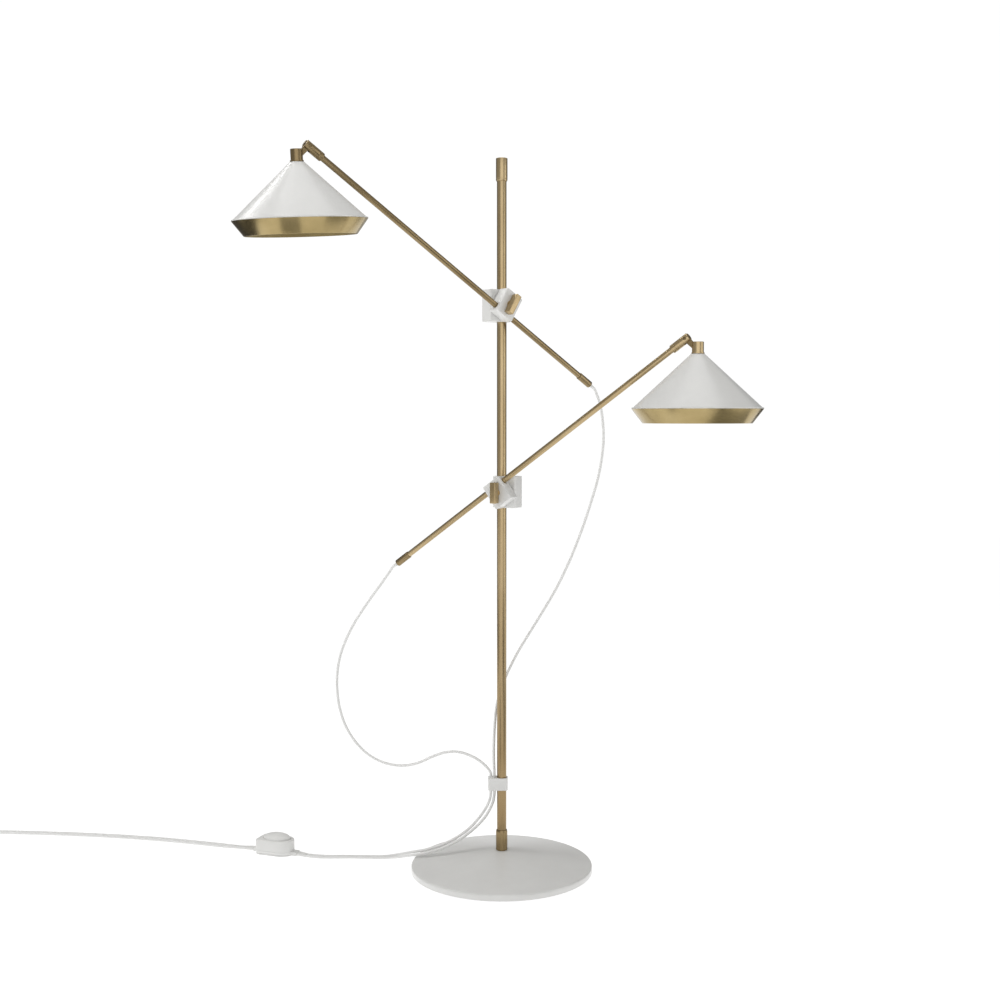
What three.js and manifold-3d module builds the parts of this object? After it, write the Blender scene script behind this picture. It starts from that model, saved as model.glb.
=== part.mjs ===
// Floor lamp with two adjustable arms. Millimetres, +Z up, origin at the centre of the foot's underside.
import * as THREE from "three";
import { mergeVertices } from "three/addons/utils/BufferGeometryUtils.js";
import Module from "manifold-3d";

const wasm = await Module();
wasm.setup();

// ---- clearances ----
const GAP = 0.3; // between pieces that touch
const SLIDE_FIT = 0.3; // round a rod that slides or turns in its bore

// ---- foot ----
const FOOT_R = 193;
const FOOT_RIM_H = 15;
const FOOT_RISE = 29; // from the rim to the flat round the pole
const FOOT_EDGE_R = 3;
const FOOT_SIDES = 44;
const FOOT_FLAT_R = 15;
const COVER_T = 2;
const PAD_T = 1.5;
const PAD_INSET = 6;
const BALLAST_H = 10;
const BALLAST_HUB_R = 22;
const BOLT_R = 5;
const BOLT_HEAD_R = 10;
const BOLT_HEAD_H = 7;
const BOLT_IN_FERRULE = 12;

// ---- pole ----
const POLE_R = 10;
const POLE_WALL = 2;
const LAMP_H = 1500; // to the top of the pole's cap
const CAP_H = 47;
const CAP_WALL = 2;
const CAP_TOP_T = 7;
const FERRULE_H = 44;
const FERRULE_WALL = 2.25;
const FERRULE_FLOOR = 14;

// ---- cable clip on the pole ----
const CLIP_Z = 175;
const CLIP_H = 26;
const CLIP_DEPTH = 28;
const CLIP_WALL = 2.3;
const CLIP_RIGHT = 13;
const CLIP_SCREW_R = 2;

// ---- clamp: pole block behind, arm block in front ----
const BLOCK_D = 32;
const BLOCK_H = 66;
const BLOCK_EDGE_R = 4;
const BLOCK_SIDE_WALL = 0.8; // outside the pole bush
const BUSH_WALL = 1.6;
const BUSH_SHORT = 1; // each end of the bush stays this far inside its block
const PIVOT_R = 4;
const BOLT_OFFSET = POLE_R + PIVOT_R; // pivot bolt beside the pole
const BLOCK_W = 2 * (BOLT_OFFSET + POLE_R + SLIDE_FIT + BUSH_WALL + GAP + BLOCK_SIDE_WALL);
const PIVOT_IN_BLOCK = 7;
const WASHER_R = 16;
const WASHER_T = 0.9;
const ARM_BLOCK_L = 44; // along the arm
const ARM_BLOCK_D = 28;
const ARM_BLOCK_H = 54; // across the arm
const ARM_BLOCK_EDGE_R = 2;
const ARM_OFFSET = 15; // arm beside the pivot bolt
const ARM_BUSH_WALL = 1.2;
const KNOB_W = 12.5;
const KNOB_D = 16;
const KNOB_L = 43;
const KNOB_BOSS_R = 8;
const KNOB_BOSS_H = 1.5;
const KNOB_SKIN = 4; // brass left in front of the bolt's end

// ---- arm ----
const ARM_R = 6;
const ARM_WALL = 1.5;
const ARM_L = 821; // fork's end to tail's end
const TAIL_R = 7.5;
const TAIL_L = 36;
const TAIL_STOP = 8; // the tube ends this far inside the tail ferrule
const SWIVEL_R = 8.6;
const COLLAR_L = 9.7;
const FORK_L = 32;
const FORK_SPIGOT_L = 20;
const SLOT_DEPTH = 15.3;
const LINK_T = 6;
const TILT_IN = 7; // tilt pin from the fork's end
const TILT_R = 2;
const GLAND_OUT = 10;
const GLAND_IN = 14;

// ---- shade head, measured from the middle of its cap ----
const LINK_EYE_R = 7.5;
const LINK_HALF_W = 5;
const LINK_SLOPE = 42.5; // degrees below level
const CAP_OUT = 24; // cap's axis from the tilt pin
const CAP_DOWN = 16.6;
const HEAD_CAP_R = 11.25;
const HEAD_CAP_HALF_H = 10.25;
const HEAD_CAP_WALL = 3.25;
const HEAD_CAP_TOP_T = 3;
const FLANGE_R = 12.75;
const FLANGE_T = 2;
const NIPPLE_R = 5;
const SHADE_TOP_R = 12.5;
const SHADE_R = 125;
const SHADE_H = 104;
const SHADE_T = 1.2;
const RING_H = 27.7;
const RING_IN = 21; // how much smaller the ring's lower edge is
const HOLDER_R = 14;
const HOLDER_H = 50;
const HOLDER_NECK_R = 10.5;
const HOLDER_MOUTH_R = 8.5;
const HOLDER_MOUTH_H = 22;
const BULB_R = 22.5;
const BULB_L = 86;
const BULB_CAP_R = 8.2;

// ---- foot switch ----
const SWITCH_AT = [-500, 110];
const SWITCH_TURN = 160; // degrees, its cord ends point along this
const SWITCH_L = 84;
const SWITCH_W = 50;
const SWITCH_TOP = 34;
const SWITCH_PLATE_T = 3;
const SWITCH_WALL = 2.5;
const SWITCH_CORNER_R = 10;
const SWITCH_BEVEL = 2.5;
const PEDAL_HALF_W = 21;
const PEDAL_STRETCH = 1.5;
const PEDAL_AT = -2;
const PEDAL_DOME = 10.5;
const PEDAL_PROUD = 1.5;
const PEDAL_SKIRT = 12;
const PEDAL_FIT = 0.6;
const COLLAR_OUT = 12;
const COLLAR_W = 20;
const COLLAR_H = 9;

// ---- cords ----
const CORD_R = 3;
const CORD_SIDES = 8;
const CORD_PITCH = 7.6; // between the two cords in the clip
const SWITCH_CORD_Z = 5;
const CORD_END = 0.5; // clearance at each end of a cord's solid
const COIL_MEAN_R = 34.25;
const COIL_TURN_PITCH = 6.5;
const COIL_LAYERS = 2;
const COIL_X = -1234;
const REAR_CORD_Y = 252.5; // where the two cords run into their coils
const FRONT_CORD_Y = 242.5;
const PLUG_NOSE_L = 25;
const PLUG_NOSE_R = 4;
const PLUG_L = 38;
const PLUG_W = 36;
const PLUG_T = 18;
const PIN_R = 2;
const PIN_L = 19;
const PIN_PITCH = 19;

// ---- how each arm stands ----
const ARMS = [
  {
    name: "upper",
    side: -1, // its head points left of the pole
    height: 1196,
    swing: 38,
    rise: 31.6,
    reach: 540, // fork's end from the block
    knobLean: 31.6,
    roll: -4.5,
    nod: 5,
  },
  {
    name: "lower",
    side: 1,
    height: 810,
    swing: -30,
    rise: 35,
    reach: 518,
    knobLean: 0,
    roll: 0,
    nod: 0,
  },
];

// ---- worked-out places ----
const COVER_Z = PAD_T + GAP;
const FOOT_TOP = FOOT_RIM_H + FOOT_RISE;
const FERRULE_Z = FOOT_TOP + GAP;
const FERRULE_TOP = FOOT_TOP + FERRULE_H;
const POLE_Z = FERRULE_Z + FERRULE_FLOOR + GAP;
const POLE_TOP = LAMP_H - CAP_TOP_T;
const ARM_FRONT = BLOCK_D / 2 + WASHER_T + 2 * GAP; // arm block's back face from the pole's axis
const ARM_MIDDLE = ARM_FRONT + ARM_BLOCK_D / 2;
const KNOB_FACE = ARM_FRONT + ARM_BLOCK_D + GAP;
const COLLAR_T0 = FORK_L + COLLAR_L + GAP; // collar's back edge from the fork's end
const SHADE_Z = -(HEAD_CAP_HALF_H + FLANGE_T + GAP);
const RING_Z = SHADE_Z - SHADE_H - GAP;
const HOLDER_Z = SHADE_Z - SHADE_T - GAP;
const CORD_INNER_X = -(POLE_R + SLIDE_FIT + CLIP_WALL + CORD_R + GAP);
const CORD_OUTER_X = CORD_INNER_X - CORD_PITCH;
const CLIP_TOP = CLIP_Z + CLIP_H;
const COIL_HALF_W = (COIL_TURN_PITCH + 2 * CORD_R) / 2 + GAP;
const COIL_H = 2 * COIL_LAYERS * CORD_R + GAP;
const COIL_TURN_R = COIL_MEAN_R + COIL_TURN_PITCH / 2;
const PLUG_Z = PLUG_T / 2;

// ---- materials ----
const material = (color, roughness, metalness) =>
  new THREE.MeshStandardMaterial({ color, roughness, metalness });
const WHITE_PAINT = material(0xe4e4e0, 0.35, 0);
const BRASS = material(0x9a7b4a, 0.35, 1);
const STEEL = material(0xa8a8a8, 0.4, 1);
const IRON = material(0x3c3c3e, 0.8, 0.6);
const RUBBER = material(0x26262a, 0.9, 0);
const NYLON = material(0xecebe4, 0.5, 0);
const FIBRE = material(0x2b2521, 0.9, 0);
const WHITE_PLASTIC = material(0xe9e8e4, 0.35, 0);
const BLACK_PLASTIC = material(0x1d1d1f, 0.5, 0);
const OPAL_GLASS = material(0xf6f3ea, 0.2, 0);
const CORD_CLOTH = material(0xe6e4de, 0.85, 0);

// ---- solids ----
const rad = THREE.MathUtils.degToRad;

function solid(geometry) {
  const bare = geometry.index ? geometry.toNonIndexed() : geometry.clone();
  const points = new THREE.BufferGeometry().setAttribute("position", bare.getAttribute("position"));
  const merged = mergeVertices(points, 1e-4);
  const corners = merged.index.array;
  const kept = [];
  for (let i = 0; i < corners.length; i += 3) {
    const [a, b, c] = [corners[i], corners[i + 1], corners[i + 2]];
    if (a !== b && b !== c && c !== a) kept.push(a, b, c);
  }
  return new wasm.Manifold(
    new wasm.Mesh({
      numProp: 3,
      vertProperties: merged.attributes.position.array,
      triVerts: new Uint32Array(kept),
    }),
  );
}

function geometryOf(body) {
  const { vertProperties, triVerts, numProp } = body.getMesh();
  const points = new Float32Array(triVerts.length * 3);
  triVerts.forEach((v, i) => {
    points.set(vertProperties.subarray(v * numProp, v * numProp + 3), i * 3);
  });
  const g = new THREE.BufferGeometry().setAttribute("position", new THREE.BufferAttribute(points, 3));
  g.computeVertexNormals();
  return g;
}

const cut = (body, ...tools) => tools.reduce((left, tool) => left.subtract(tool), body);
const join = (...bodies) => bodies.reduce((all, body) => all.add(body));

// A profile of [radius, height] turned about Z. It starts and ends on the axis, or closes on itself.
function turned(profile, sides = 20) {
  const onAxis = profile[0][0] === 0 && profile.at(-1)[0] === 0;
  const ring = onAxis ? [...profile] : [...profile, profile[0]];
  const area = ring.reduce((sum, [r, z], i) => {
    const [r2, z2] = ring[(i + 1) % ring.length];
    return sum + r * z2 - r2 * z;
  }, 0);
  if (area < 0) ring.reverse();
  const points = ring.map(([r, z]) => new THREE.Vector2(r, z));
  return solid(new THREE.LatheGeometry(points, sides).rotateX(Math.PI / 2));
}

const rod = (r, z0, z1, sides = 20) => turned([[0, z0], [r, z0], [r, z1], [0, z1]], sides);
const tube = (inner, outer, z0, z1, sides = 20) =>
  turned([[inner, z0], [outer, z0], [outer, z1], [inner, z1]], sides);
const box = (x0, y0, z0, x1, y1, z1) =>
  solid(new THREE.BoxGeometry(x1 - x0, y1 - y0, z1 - z0)).translate(
    (x0 + x1) / 2,
    (y0 + y1) / 2,
    (z0 + z1) / 2,
  );

const alongX = (body) => body.rotate(0, 90, 0); // a body made along Z
const alongBack = (body) => body.rotate(-90, 0, 0); // the same, along +Y

function roundedRect(x0, y0, x1, y1, r) {
  const s = new THREE.Shape();
  s.moveTo(x0 + r, y0);
  s.lineTo(x1 - r, y0);
  s.absarc(x1 - r, y0 + r, r, -Math.PI / 2, 0, false);
  s.lineTo(x1, y1 - r);
  s.absarc(x1 - r, y1 - r, r, 0, Math.PI / 2, false);
  s.lineTo(x0 + r, y1);
  s.absarc(x0 + r, y1 - r, r, Math.PI / 2, Math.PI, false);
  s.lineTo(x0, y0 + r);
  s.absarc(x0 + r, y0 + r, r, Math.PI, 1.5 * Math.PI, false);
  return s;
}

const extruded = (shape, z0, z1, curveSegments = 4) =>
  solid(
    new THREE.ExtrudeGeometry(shape, { depth: z1 - z0, bevelEnabled: false, curveSegments }),
  ).translate(0, 0, z0);

function mesh(name, body, look) {
  const m = new THREE.Mesh(geometryOf(body), look);
  m.name = name;
  return m;
}

function arc(cx, cz, r, from, to, steps) {
  return Array.from({ length: steps + 1 }, (_, i) => {
    const a = rad(from + ((to - from) * i) / steps);
    return [cx + r * Math.cos(a), cz + r * Math.sin(a)];
  });
}

// ---- foot ----
function footCover() {
  const hole = BOLT_R + GAP;
  const edgeR = FOOT_R - FOOT_EDGE_R;
  const edgeZ = FOOT_RIM_H - FOOT_EDGE_R;
  return turned(
    [
      [hole, FOOT_TOP],
      [FOOT_FLAT_R, FOOT_TOP],
      ...arc(edgeR, edgeZ, FOOT_EDGE_R, 90, 0, 2),
      [FOOT_R, COVER_Z],
      [FOOT_R - COVER_T, COVER_Z],
      [FOOT_R - COVER_T, edgeZ],
      [edgeR, FOOT_RIM_H - COVER_T],
      [FOOT_FLAT_R, FOOT_TOP - COVER_T],
      [hole, FOOT_TOP - COVER_T],
    ],
    FOOT_SIDES,
  );
}

function footBallast() {
  const hole = BOLT_R + GAP;
  const top = FOOT_TOP - COVER_T - GAP;
  const r = FOOT_R - COVER_T - GAP;
  const sinkR = BOLT_HEAD_R + 2;
  const sinkZ = COVER_Z + BOLT_HEAD_H + 2 * GAP;
  return turned(
    [
      [hole, sinkZ],
      [sinkR, sinkZ],
      [sinkR, COVER_Z],
      [r, COVER_Z],
      [r, COVER_Z + BALLAST_H - 2],
      [r - 2, COVER_Z + BALLAST_H],
      [BALLAST_HUB_R, COVER_Z + BALLAST_H],
      [BALLAST_HUB_R - 4, top - 3],
      [FOOT_FLAT_R - 1, top],
      [hole, top],
    ],
    FOOT_SIDES,
  );
}

function footBolt() {
  const z = COVER_Z + GAP;
  const head = rod(BOLT_HEAD_R, z, z + BOLT_HEAD_H, 6);
  return join(head, rod(BOLT_R, z + 1, FERRULE_Z + BOLT_IN_FERRULE));
}

function footFerrule() {
  const bore = POLE_R + GAP;
  const r = POLE_R + FERRULE_WALL;
  const hole = BOLT_R + GAP;
  return turned([
    [hole, FERRULE_Z],
    [r, FERRULE_Z],
    [r, FERRULE_TOP - 1.5],
    [r - 1.2, FERRULE_TOP],
    [bore, FERRULE_TOP],
    [bore, POLE_Z - GAP],
    [hole, POLE_Z - GAP],
  ]);
}

function poleCap() {
  const bore = POLE_R + GAP;
  const r = POLE_R + CAP_WALL;
  return turned([
    [0, POLE_TOP + GAP],
    [bore, POLE_TOP + GAP],
    [bore, LAMP_H - CAP_H],
    [bore + 0.3, LAMP_H - CAP_H],
    [r, LAMP_H - CAP_H + 4],
    [r, LAMP_H - 1],
    [r - 1, LAMP_H],
    [0, LAMP_H],
  ]);
}

function cableClip() {
  const left = CORD_OUTER_X - CORD_R - GAP - CLIP_WALL;
  const half = CLIP_DEPTH / 2;
  const body = extruded(roundedRect(left, -half, CLIP_RIGHT, half, 5), CLIP_Z, CLIP_TOP);
  const holes = [CORD_INNER_X, CORD_OUTER_X].map((x) =>
    rod(CORD_R + GAP, CLIP_Z - 1, CLIP_TOP + 1, 16).translate(x, 0, 0),
  );
  const bore = rod(POLE_R + GAP, CLIP_Z - 1, CLIP_TOP + 1);
  const screw = alongBack(rod(CLIP_SCREW_R + GAP, 0, half + 2, 12)).translate(0, 0, CLIP_Z + CLIP_H / 2);
  return cut(body, bore, ...holes, screw);
}

const clipScrew = () =>
  alongBack(rod(CLIP_SCREW_R, POLE_R + 2 * GAP, CLIP_DEPTH / 2 + 0.5, 12)).translate(
    0,
    0,
    CLIP_Z + CLIP_H / 2,
  );

// ---- clamp ----
const bushR = POLE_R + SLIDE_FIT + BUSH_WALL;

function poleBlock(side) {
  const half = BLOCK_H / 2;
  const mid = side * BOLT_OFFSET;
  const deep = BLOCK_D / 2;
  const plan = roundedRect(mid - BLOCK_W / 2, -deep, mid + BLOCK_W / 2, deep, BLOCK_EDGE_R);
  const thread = alongBack(rod(PIVOT_R + GAP, 0, PIVOT_IN_BLOCK + 1 + GAP)).translate(mid, -deep - 1, 0);
  return cut(extruded(plan, -half, half), rod(bushR + SLIDE_FIT, -half - 1, half + 1), thread);
}

const poleBush = () =>
  tube(POLE_R + SLIDE_FIT, bushR, -BLOCK_H / 2 + BUSH_SHORT, BLOCK_H / 2 - BUSH_SHORT);

// Arm frame: X along the arm to the head, Y to the back, origin on the pivot bolt in the block's middle.
const armBushR = ARM_R + SLIDE_FIT + ARM_BUSH_WALL;

function armBlock() {
  const [l, d, h] = [ARM_BLOCK_L / 2, ARM_BLOCK_D / 2, ARM_BLOCK_H / 2];
  const body = extruded(roundedRect(-l, -h, l, h, ARM_BLOCK_EDGE_R), -d, d).rotate(90, 0, 0);
  const bolt = alongBack(rod(PIVOT_R + GAP, -d - 1, d + 1));
  const bore = alongX(rod(armBushR + GAP, -l - 1, l + 1)).translate(0, 0, ARM_OFFSET);
  return cut(body, bolt, bore);
}

const armBush = () =>
  alongX(tube(ARM_R + SLIDE_FIT, armBushR, -ARM_BLOCK_L / 2 + 0.5, ARM_BLOCK_L / 2 - 0.5));

// Bolt frame: Y to the back, origin on the pole's axis plane.
function pivotBolt() {
  const front = KNOB_FACE + KNOB_BOSS_H + KNOB_D - KNOB_SKIN - GAP;
  return alongBack(rod(PIVOT_R, -front, -BLOCK_D / 2 + PIVOT_IN_BLOCK));
}

const frictionWasher = () =>
  alongBack(tube(PIVOT_R + GAP, WASHER_R, -BLOCK_D / 2 - GAP - WASHER_T, -BLOCK_D / 2 - GAP));

function clampKnob() {
  const back = KNOB_FACE + KNOB_BOSS_H;
  const plan = roundedRect(-KNOB_W / 2, -KNOB_L / 2, KNOB_W / 2, KNOB_L / 2, 1.2);
  const bar = extruded(plan, 0, KNOB_D, 3).rotate(90, 0, 0).translate(0, -back, 0);
  const boss = alongBack(rod(KNOB_BOSS_R, -back - 1, -KNOB_FACE));
  const bore = alongBack(rod(PIVOT_R + GAP, -(back + KNOB_D - KNOB_SKIN), -KNOB_FACE + 1));
  return cut(join(bar, boss), bore);
}

// ---- arm: t runs along X, 0 at the fork's end face and negative towards the tail ----
const armTube = () =>
  alongX(tube(ARM_R - ARM_WALL, ARM_R, -ARM_L + TAIL_STOP, -FORK_L - 2 * GAP));

const tailFerrule = () =>
  alongX(
    turned([
      [ARM_R + GAP, -ARM_L + TAIL_STOP - GAP],
      [ARM_R + GAP, -ARM_L + TAIL_L],
      [TAIL_R - 0.6, -ARM_L + TAIL_L],
      [TAIL_R, -ARM_L + TAIL_L - 0.8],
      [TAIL_R, -ARM_L + 0.8],
      [TAIL_R - 0.8, -ARM_L],
      [ARM_R - ARM_WALL, -ARM_L],
      [ARM_R - ARM_WALL, -ARM_L + TAIL_STOP - GAP],
    ]),
  );

const cordGland = () => {
  const inside = ARM_R - ARM_WALL - GAP;
  return alongX(
    turned(
      [
        [0, -ARM_L + GLAND_IN],
        [inside, -ARM_L + GLAND_IN],
        [inside, -ARM_L],
        [CORD_R + 0.6, -ARM_L - GLAND_OUT],
        [0, -ARM_L - GLAND_OUT],
      ],
      20,
    ),
  );
};

const swivelCollar = () =>
  alongX(
    turned([
      [ARM_R + GAP, -COLLAR_T0],
      [SWIVEL_R - 0.7, -COLLAR_T0],
      [SWIVEL_R, -COLLAR_T0 + 0.7],
      [SWIVEL_R, -FORK_L - GAP],
      [ARM_R + GAP, -FORK_L - GAP],
    ]),
  );

function swivelFork() {
  const spigot = ARM_R - ARM_WALL - SLIDE_FIT;
  const body = alongX(
    turned([
      [0, -FORK_L - FORK_SPIGOT_L],
      [spigot, -FORK_L - FORK_SPIGOT_L],
      [spigot, -FORK_L],
      [SWIVEL_R, -FORK_L],
      [SWIVEL_R, -1],
      [SWIVEL_R - 1, 0],
      [0, 0],
    ]),
  );
  const half = LINK_T / 2 + SLIDE_FIT;
  const slot = box(-SLOT_DEPTH, -half, -20, 5, half, 20);
  const pin = alongBack(rod(TILT_R + GAP, -20, 20, 16)).translate(-TILT_IN, 0, 0);
  return cut(body, slot, pin);
}

const tiltScrew = () =>
  alongBack(rod(TILT_R, -SWIVEL_R + 0.6, SWIVEL_R - 0.6, 16)).translate(-TILT_IN, 0, 0);

// ---- head: X outward, Z up, origin on the tilt pin; the cap's middle is at CAP_OUT, -CAP_DOWN ----
const linkEnd = CAP_OUT - (HEAD_CAP_R - HEAD_CAP_WALL) - GAP;

function linkBar(halfW, endX, halfT) {
  const a = rad(-LINK_SLOPE);
  const [dx, dz] = [Math.cos(a), Math.sin(a)];
  const side = (k) => [-dz * k * halfW, dx * k * halfW];
  const onEdge = (k) => {
    const [sx, sz] = side(k);
    const w = (endX - sx) / dx;
    return [endX, sz + dz * w];
  };
  const shape = new THREE.Shape();
  [side(1), side(-1), onEdge(-1), onEdge(1)].forEach(([x, z], i) => {
    if (i) shape.lineTo(x, z);
    else shape.moveTo(x, z);
  });
  return extruded(shape, -halfT, halfT).rotate(90, 0, 0);
}

function tiltLink() {
  const half = LINK_T / 2;
  const eye = alongBack(rod(LINK_EYE_R, -half, half));
  const hole = alongBack(rod(TILT_R + SLIDE_FIT, -half - 1, half + 1, 16));
  return cut(join(eye, linkBar(LINK_HALF_W, linkEnd, half)), hole);
}

function shadeCap() {
  const h = HEAD_CAP_HALF_H;
  const bore = HEAD_CAP_R - HEAD_CAP_WALL;
  const hole = NIPPLE_R + GAP;
  const body = turned([
    [0, h - HEAD_CAP_TOP_T],
    [bore, h - HEAD_CAP_TOP_T],
    [bore, -h + 1.2],
    [hole, -h + 1.2],
    [hole, -h - FLANGE_T],
    [FLANGE_R, -h - FLANGE_T],
    [FLANGE_R, -h],
    [HEAD_CAP_R, -h],
    [HEAD_CAP_R, h - 1],
    [HEAD_CAP_R - 1, h],
    [0, h],
  ]);
  return cut(
    body.translate(CAP_OUT, 0, -CAP_DOWN),
    linkBar(LINK_HALF_W + GAP, linkEnd + GAP, LINK_T / 2 + GAP),
  );
}

function shade() {
  const slope = Math.hypot(SHADE_R - SHADE_TOP_R, SHADE_H);
  const thickX = (SHADE_T * slope) / SHADE_H;
  const perZ = (SHADE_R - SHADE_TOP_R) / SHADE_H;
  const hole = NIPPLE_R + GAP;
  return turned(
    [
      [hole, SHADE_Z],
      [SHADE_TOP_R, SHADE_Z],
      [SHADE_R, SHADE_Z - SHADE_H],
      [SHADE_R - thickX, SHADE_Z - SHADE_H],
      [SHADE_TOP_R + SHADE_T * perZ - thickX, SHADE_Z - SHADE_T],
      [hole, SHADE_Z - SHADE_T],
    ],
    48,
  );
}

function shadeRing() {
  const thickX = (SHADE_T * Math.hypot(RING_IN, RING_H)) / RING_H;
  return turned(
    [
      [SHADE_R, RING_Z],
      [SHADE_R - RING_IN, RING_Z - RING_H],
      [SHADE_R - RING_IN - thickX, RING_Z - RING_H],
      [SHADE_R - thickX, RING_Z],
    ],
    48,
  );
}

function lampholder() {
  const low = HOLDER_Z - HOLDER_H;
  return turned([
    [0, low + HOLDER_MOUTH_H],
    [HOLDER_MOUTH_R, low + HOLDER_MOUTH_H],
    [HOLDER_MOUTH_R, low],
    [HOLDER_R, low],
    [HOLDER_R, HOLDER_Z - 10],
    [HOLDER_NECK_R, HOLDER_Z - 6],
    [HOLDER_NECK_R, HOLDER_Z],
    [NIPPLE_R, HOLDER_Z],
    [NIPPLE_R, -HEAD_CAP_HALF_H + 6],
    [0, -HEAD_CAP_HALF_H + 6],
  ]);
}

function bulb() {
  const top = HOLDER_Z - HOLDER_H + HOLDER_MOUTH_H - GAP;
  const mid = top - BULB_L + BULB_R;
  return turned(
    [
      [0, top],
      [BULB_CAP_R, top],
      [BULB_CAP_R, top - HOLDER_MOUTH_H],
      [BULB_CAP_R + 1.5, top - HOLDER_MOUTH_H - 7],
      ...arc(0, mid, BULB_R, 52, -75, 6),
      [0, mid - BULB_R],
    ],
    20,
  );
}

// ---- one arm with its clamp and head ----
function place(parent, origin, xAxis, yAxis) {
  const x = new THREE.Vector3(...xAxis).normalize();
  const y = new THREE.Vector3(...yAxis).normalize();
  const z = new THREE.Vector3().crossVectors(x, y);
  const g = new THREE.Group();
  g.quaternion.setFromRotationMatrix(new THREE.Matrix4().makeBasis(x, y, z));
  g.position.set(...origin);
  parent.add(g);
  return g;
}

function addArm({ name, side, height, swing, rise, reach, knobLean, roll, nod }) {
  const piece = (parent, what, body, look) => parent.add(mesh(`${name}_${what}`, body, look));
  const clamp = new THREE.Group();
  clamp.position.z = height;
  clamp.rotation.z = rad(swing);
  lamp.add(clamp);
  piece(clamp, "pole_bush", poleBush(), NYLON);
  piece(clamp, "pole_block", poleBlock(side), WHITE_PAINT);

  const bolt = place(clamp, [side * BOLT_OFFSET, 0, 0], [1, 0, 0], [0, 1, 0]);
  piece(bolt, "friction_washer", frictionWasher(), FIBRE);
  const knob = place(bolt, [0, 0, 0], [Math.cos(rad(knobLean)), 0, -Math.sin(rad(knobLean))], [0, 1, 0]);
  piece(knob, "pivot_bolt", pivotBolt(), STEEL);
  piece(knob, "clamp_knob", clampKnob(), BRASS);

  const ahead = [side * Math.cos(rad(rise)), 0, Math.sin(rad(rise))];
  const holder = place(bolt, [0, -ARM_MIDDLE, 0], ahead, [0, 1, 0]);
  piece(holder, "arm_block", armBlock(), WHITE_PAINT);
  const line = place(holder, [0, 0, ARM_OFFSET], [1, 0, 0], [0, 1, 0]);
  piece(line, "arm_bush", armBush(), NYLON);

  const arm = place(line, [reach, 0, 0], [1, 0, 0], [0, 1, 0]);
  piece(arm, "arm_tube", armTube(), BRASS);
  piece(arm, "tail_ferrule", tailFerrule(), BRASS);
  piece(arm, "cord_gland", cordGland(), WHITE_PLASTIC);
  piece(arm, "swivel_collar", swivelCollar(), BRASS);
  const swivel = place(arm, [0, 0, 0], [1, 0, 0], [0, Math.cos(rad(roll)), Math.sin(rad(roll))]);
  piece(swivel, "swivel_fork", swivelFork(), BRASS);
  piece(swivel, "tilt_screw", tiltScrew(), BRASS);

  const pin = place(swivel, [-TILT_IN, 0, 0], [1, 0, 0], [0, 1, 0]);
  const drop = rad(rise + nod);
  const outward = [Math.cos(drop), 0, -side * Math.sin(drop)];
  addHead(place(pin, [0, 0, 0], outward, [0, side, 0]), piece);
}

function addHead(head, piece) {
  piece(head, "tilt_link", tiltLink(), BRASS);
  piece(head, "shade_cap", shadeCap(), BRASS);
  const hung = new THREE.Group();
  hung.position.set(CAP_OUT, 0, -CAP_DOWN);
  head.add(hung);
  piece(hung, "shade", shade(), WHITE_PAINT);
  piece(hung, "shade_ring", shadeRing(), BRASS);
  piece(hung, "lampholder", lampholder(), BLACK_PLASTIC);
  piece(hung, "bulb", bulb(), OPAL_GLASS);
}

// ---- foot switch: X along its cords ----
function switchPlan(inset) {
  const w = SWITCH_W / 2 - inset;
  const l = SWITCH_L / 2 - inset;
  const r = Math.max(SWITCH_CORNER_R - inset, 1);
  const s = new THREE.Shape();
  s.moveTo(-l + w, -w);
  s.lineTo(l - r, -w);
  s.absarc(l - r, -w + r, r, -Math.PI / 2, 0, false);
  s.lineTo(l, w - r);
  s.absarc(l - r, w - r, r, 0, Math.PI / 2, false);
  s.lineTo(-l + w, w);
  s.absarc(-l + w, 0, w, Math.PI / 2, 1.5 * Math.PI, false);
  return s;
}

function pedalBody(halfW, z0, profileTop) {
  return turned([[0, z0], [halfW, z0], ...profileTop], 24)
    .scale([PEDAL_STRETCH, 1, 1])
    .translate(PEDAL_AT, 0, 0);
}

function switchHousing() {
  const floor = SWITCH_PLATE_T + GAP;
  const outer = solid(
    new THREE.ExtrudeGeometry(switchPlan(SWITCH_BEVEL), {
      depth: SWITCH_TOP - floor - 2 * SWITCH_BEVEL,
      bevelSize: SWITCH_BEVEL,
      bevelThickness: SWITCH_BEVEL,
      bevelSegments: 1,
      curveSegments: 6,
    }),
  ).translate(0, 0, floor + SWITCH_BEVEL);
  const foot = extruded(switchPlan(0), floor, SWITCH_TOP / 2, 6);
  const inner = extruded(switchPlan(SWITCH_WALL), floor - 1, SWITCH_TOP - SWITCH_WALL, 6);
  const reach = SWITCH_L / 2 + COLLAR_OUT;
  const z = SWITCH_CORD_Z - COLLAR_H / 2;
  const collars = box(-reach, -COLLAR_W / 2, z, reach, COLLAR_W / 2, z + COLLAR_H);
  const ends = cut(collars, extruded(switchPlan(0), -1, floor, 6));
  const hole = pedalBody(PEDAL_HALF_W + PEDAL_FIT, SWITCH_TOP - 12, [
    [PEDAL_HALF_W + PEDAL_FIT, SWITCH_TOP + 2],
    [0, SWITCH_TOP + 2],
  ]);
  return cut(join(outer, foot, ends), inner, hole);
}

function switchPedal() {
  const edge = SWITCH_TOP + PEDAL_PROUD;
  const dome = Array.from({ length: 5 }, (_, i) => {
    const a = rad(i * 20);
    return [PEDAL_HALF_W * Math.cos(a), edge + PEDAL_DOME * Math.sin(a)];
  });
  return pedalBody(PEDAL_HALF_W, edge - PEDAL_SKIRT, [...dome, [0, edge + PEDAL_DOME]]);
}

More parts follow.
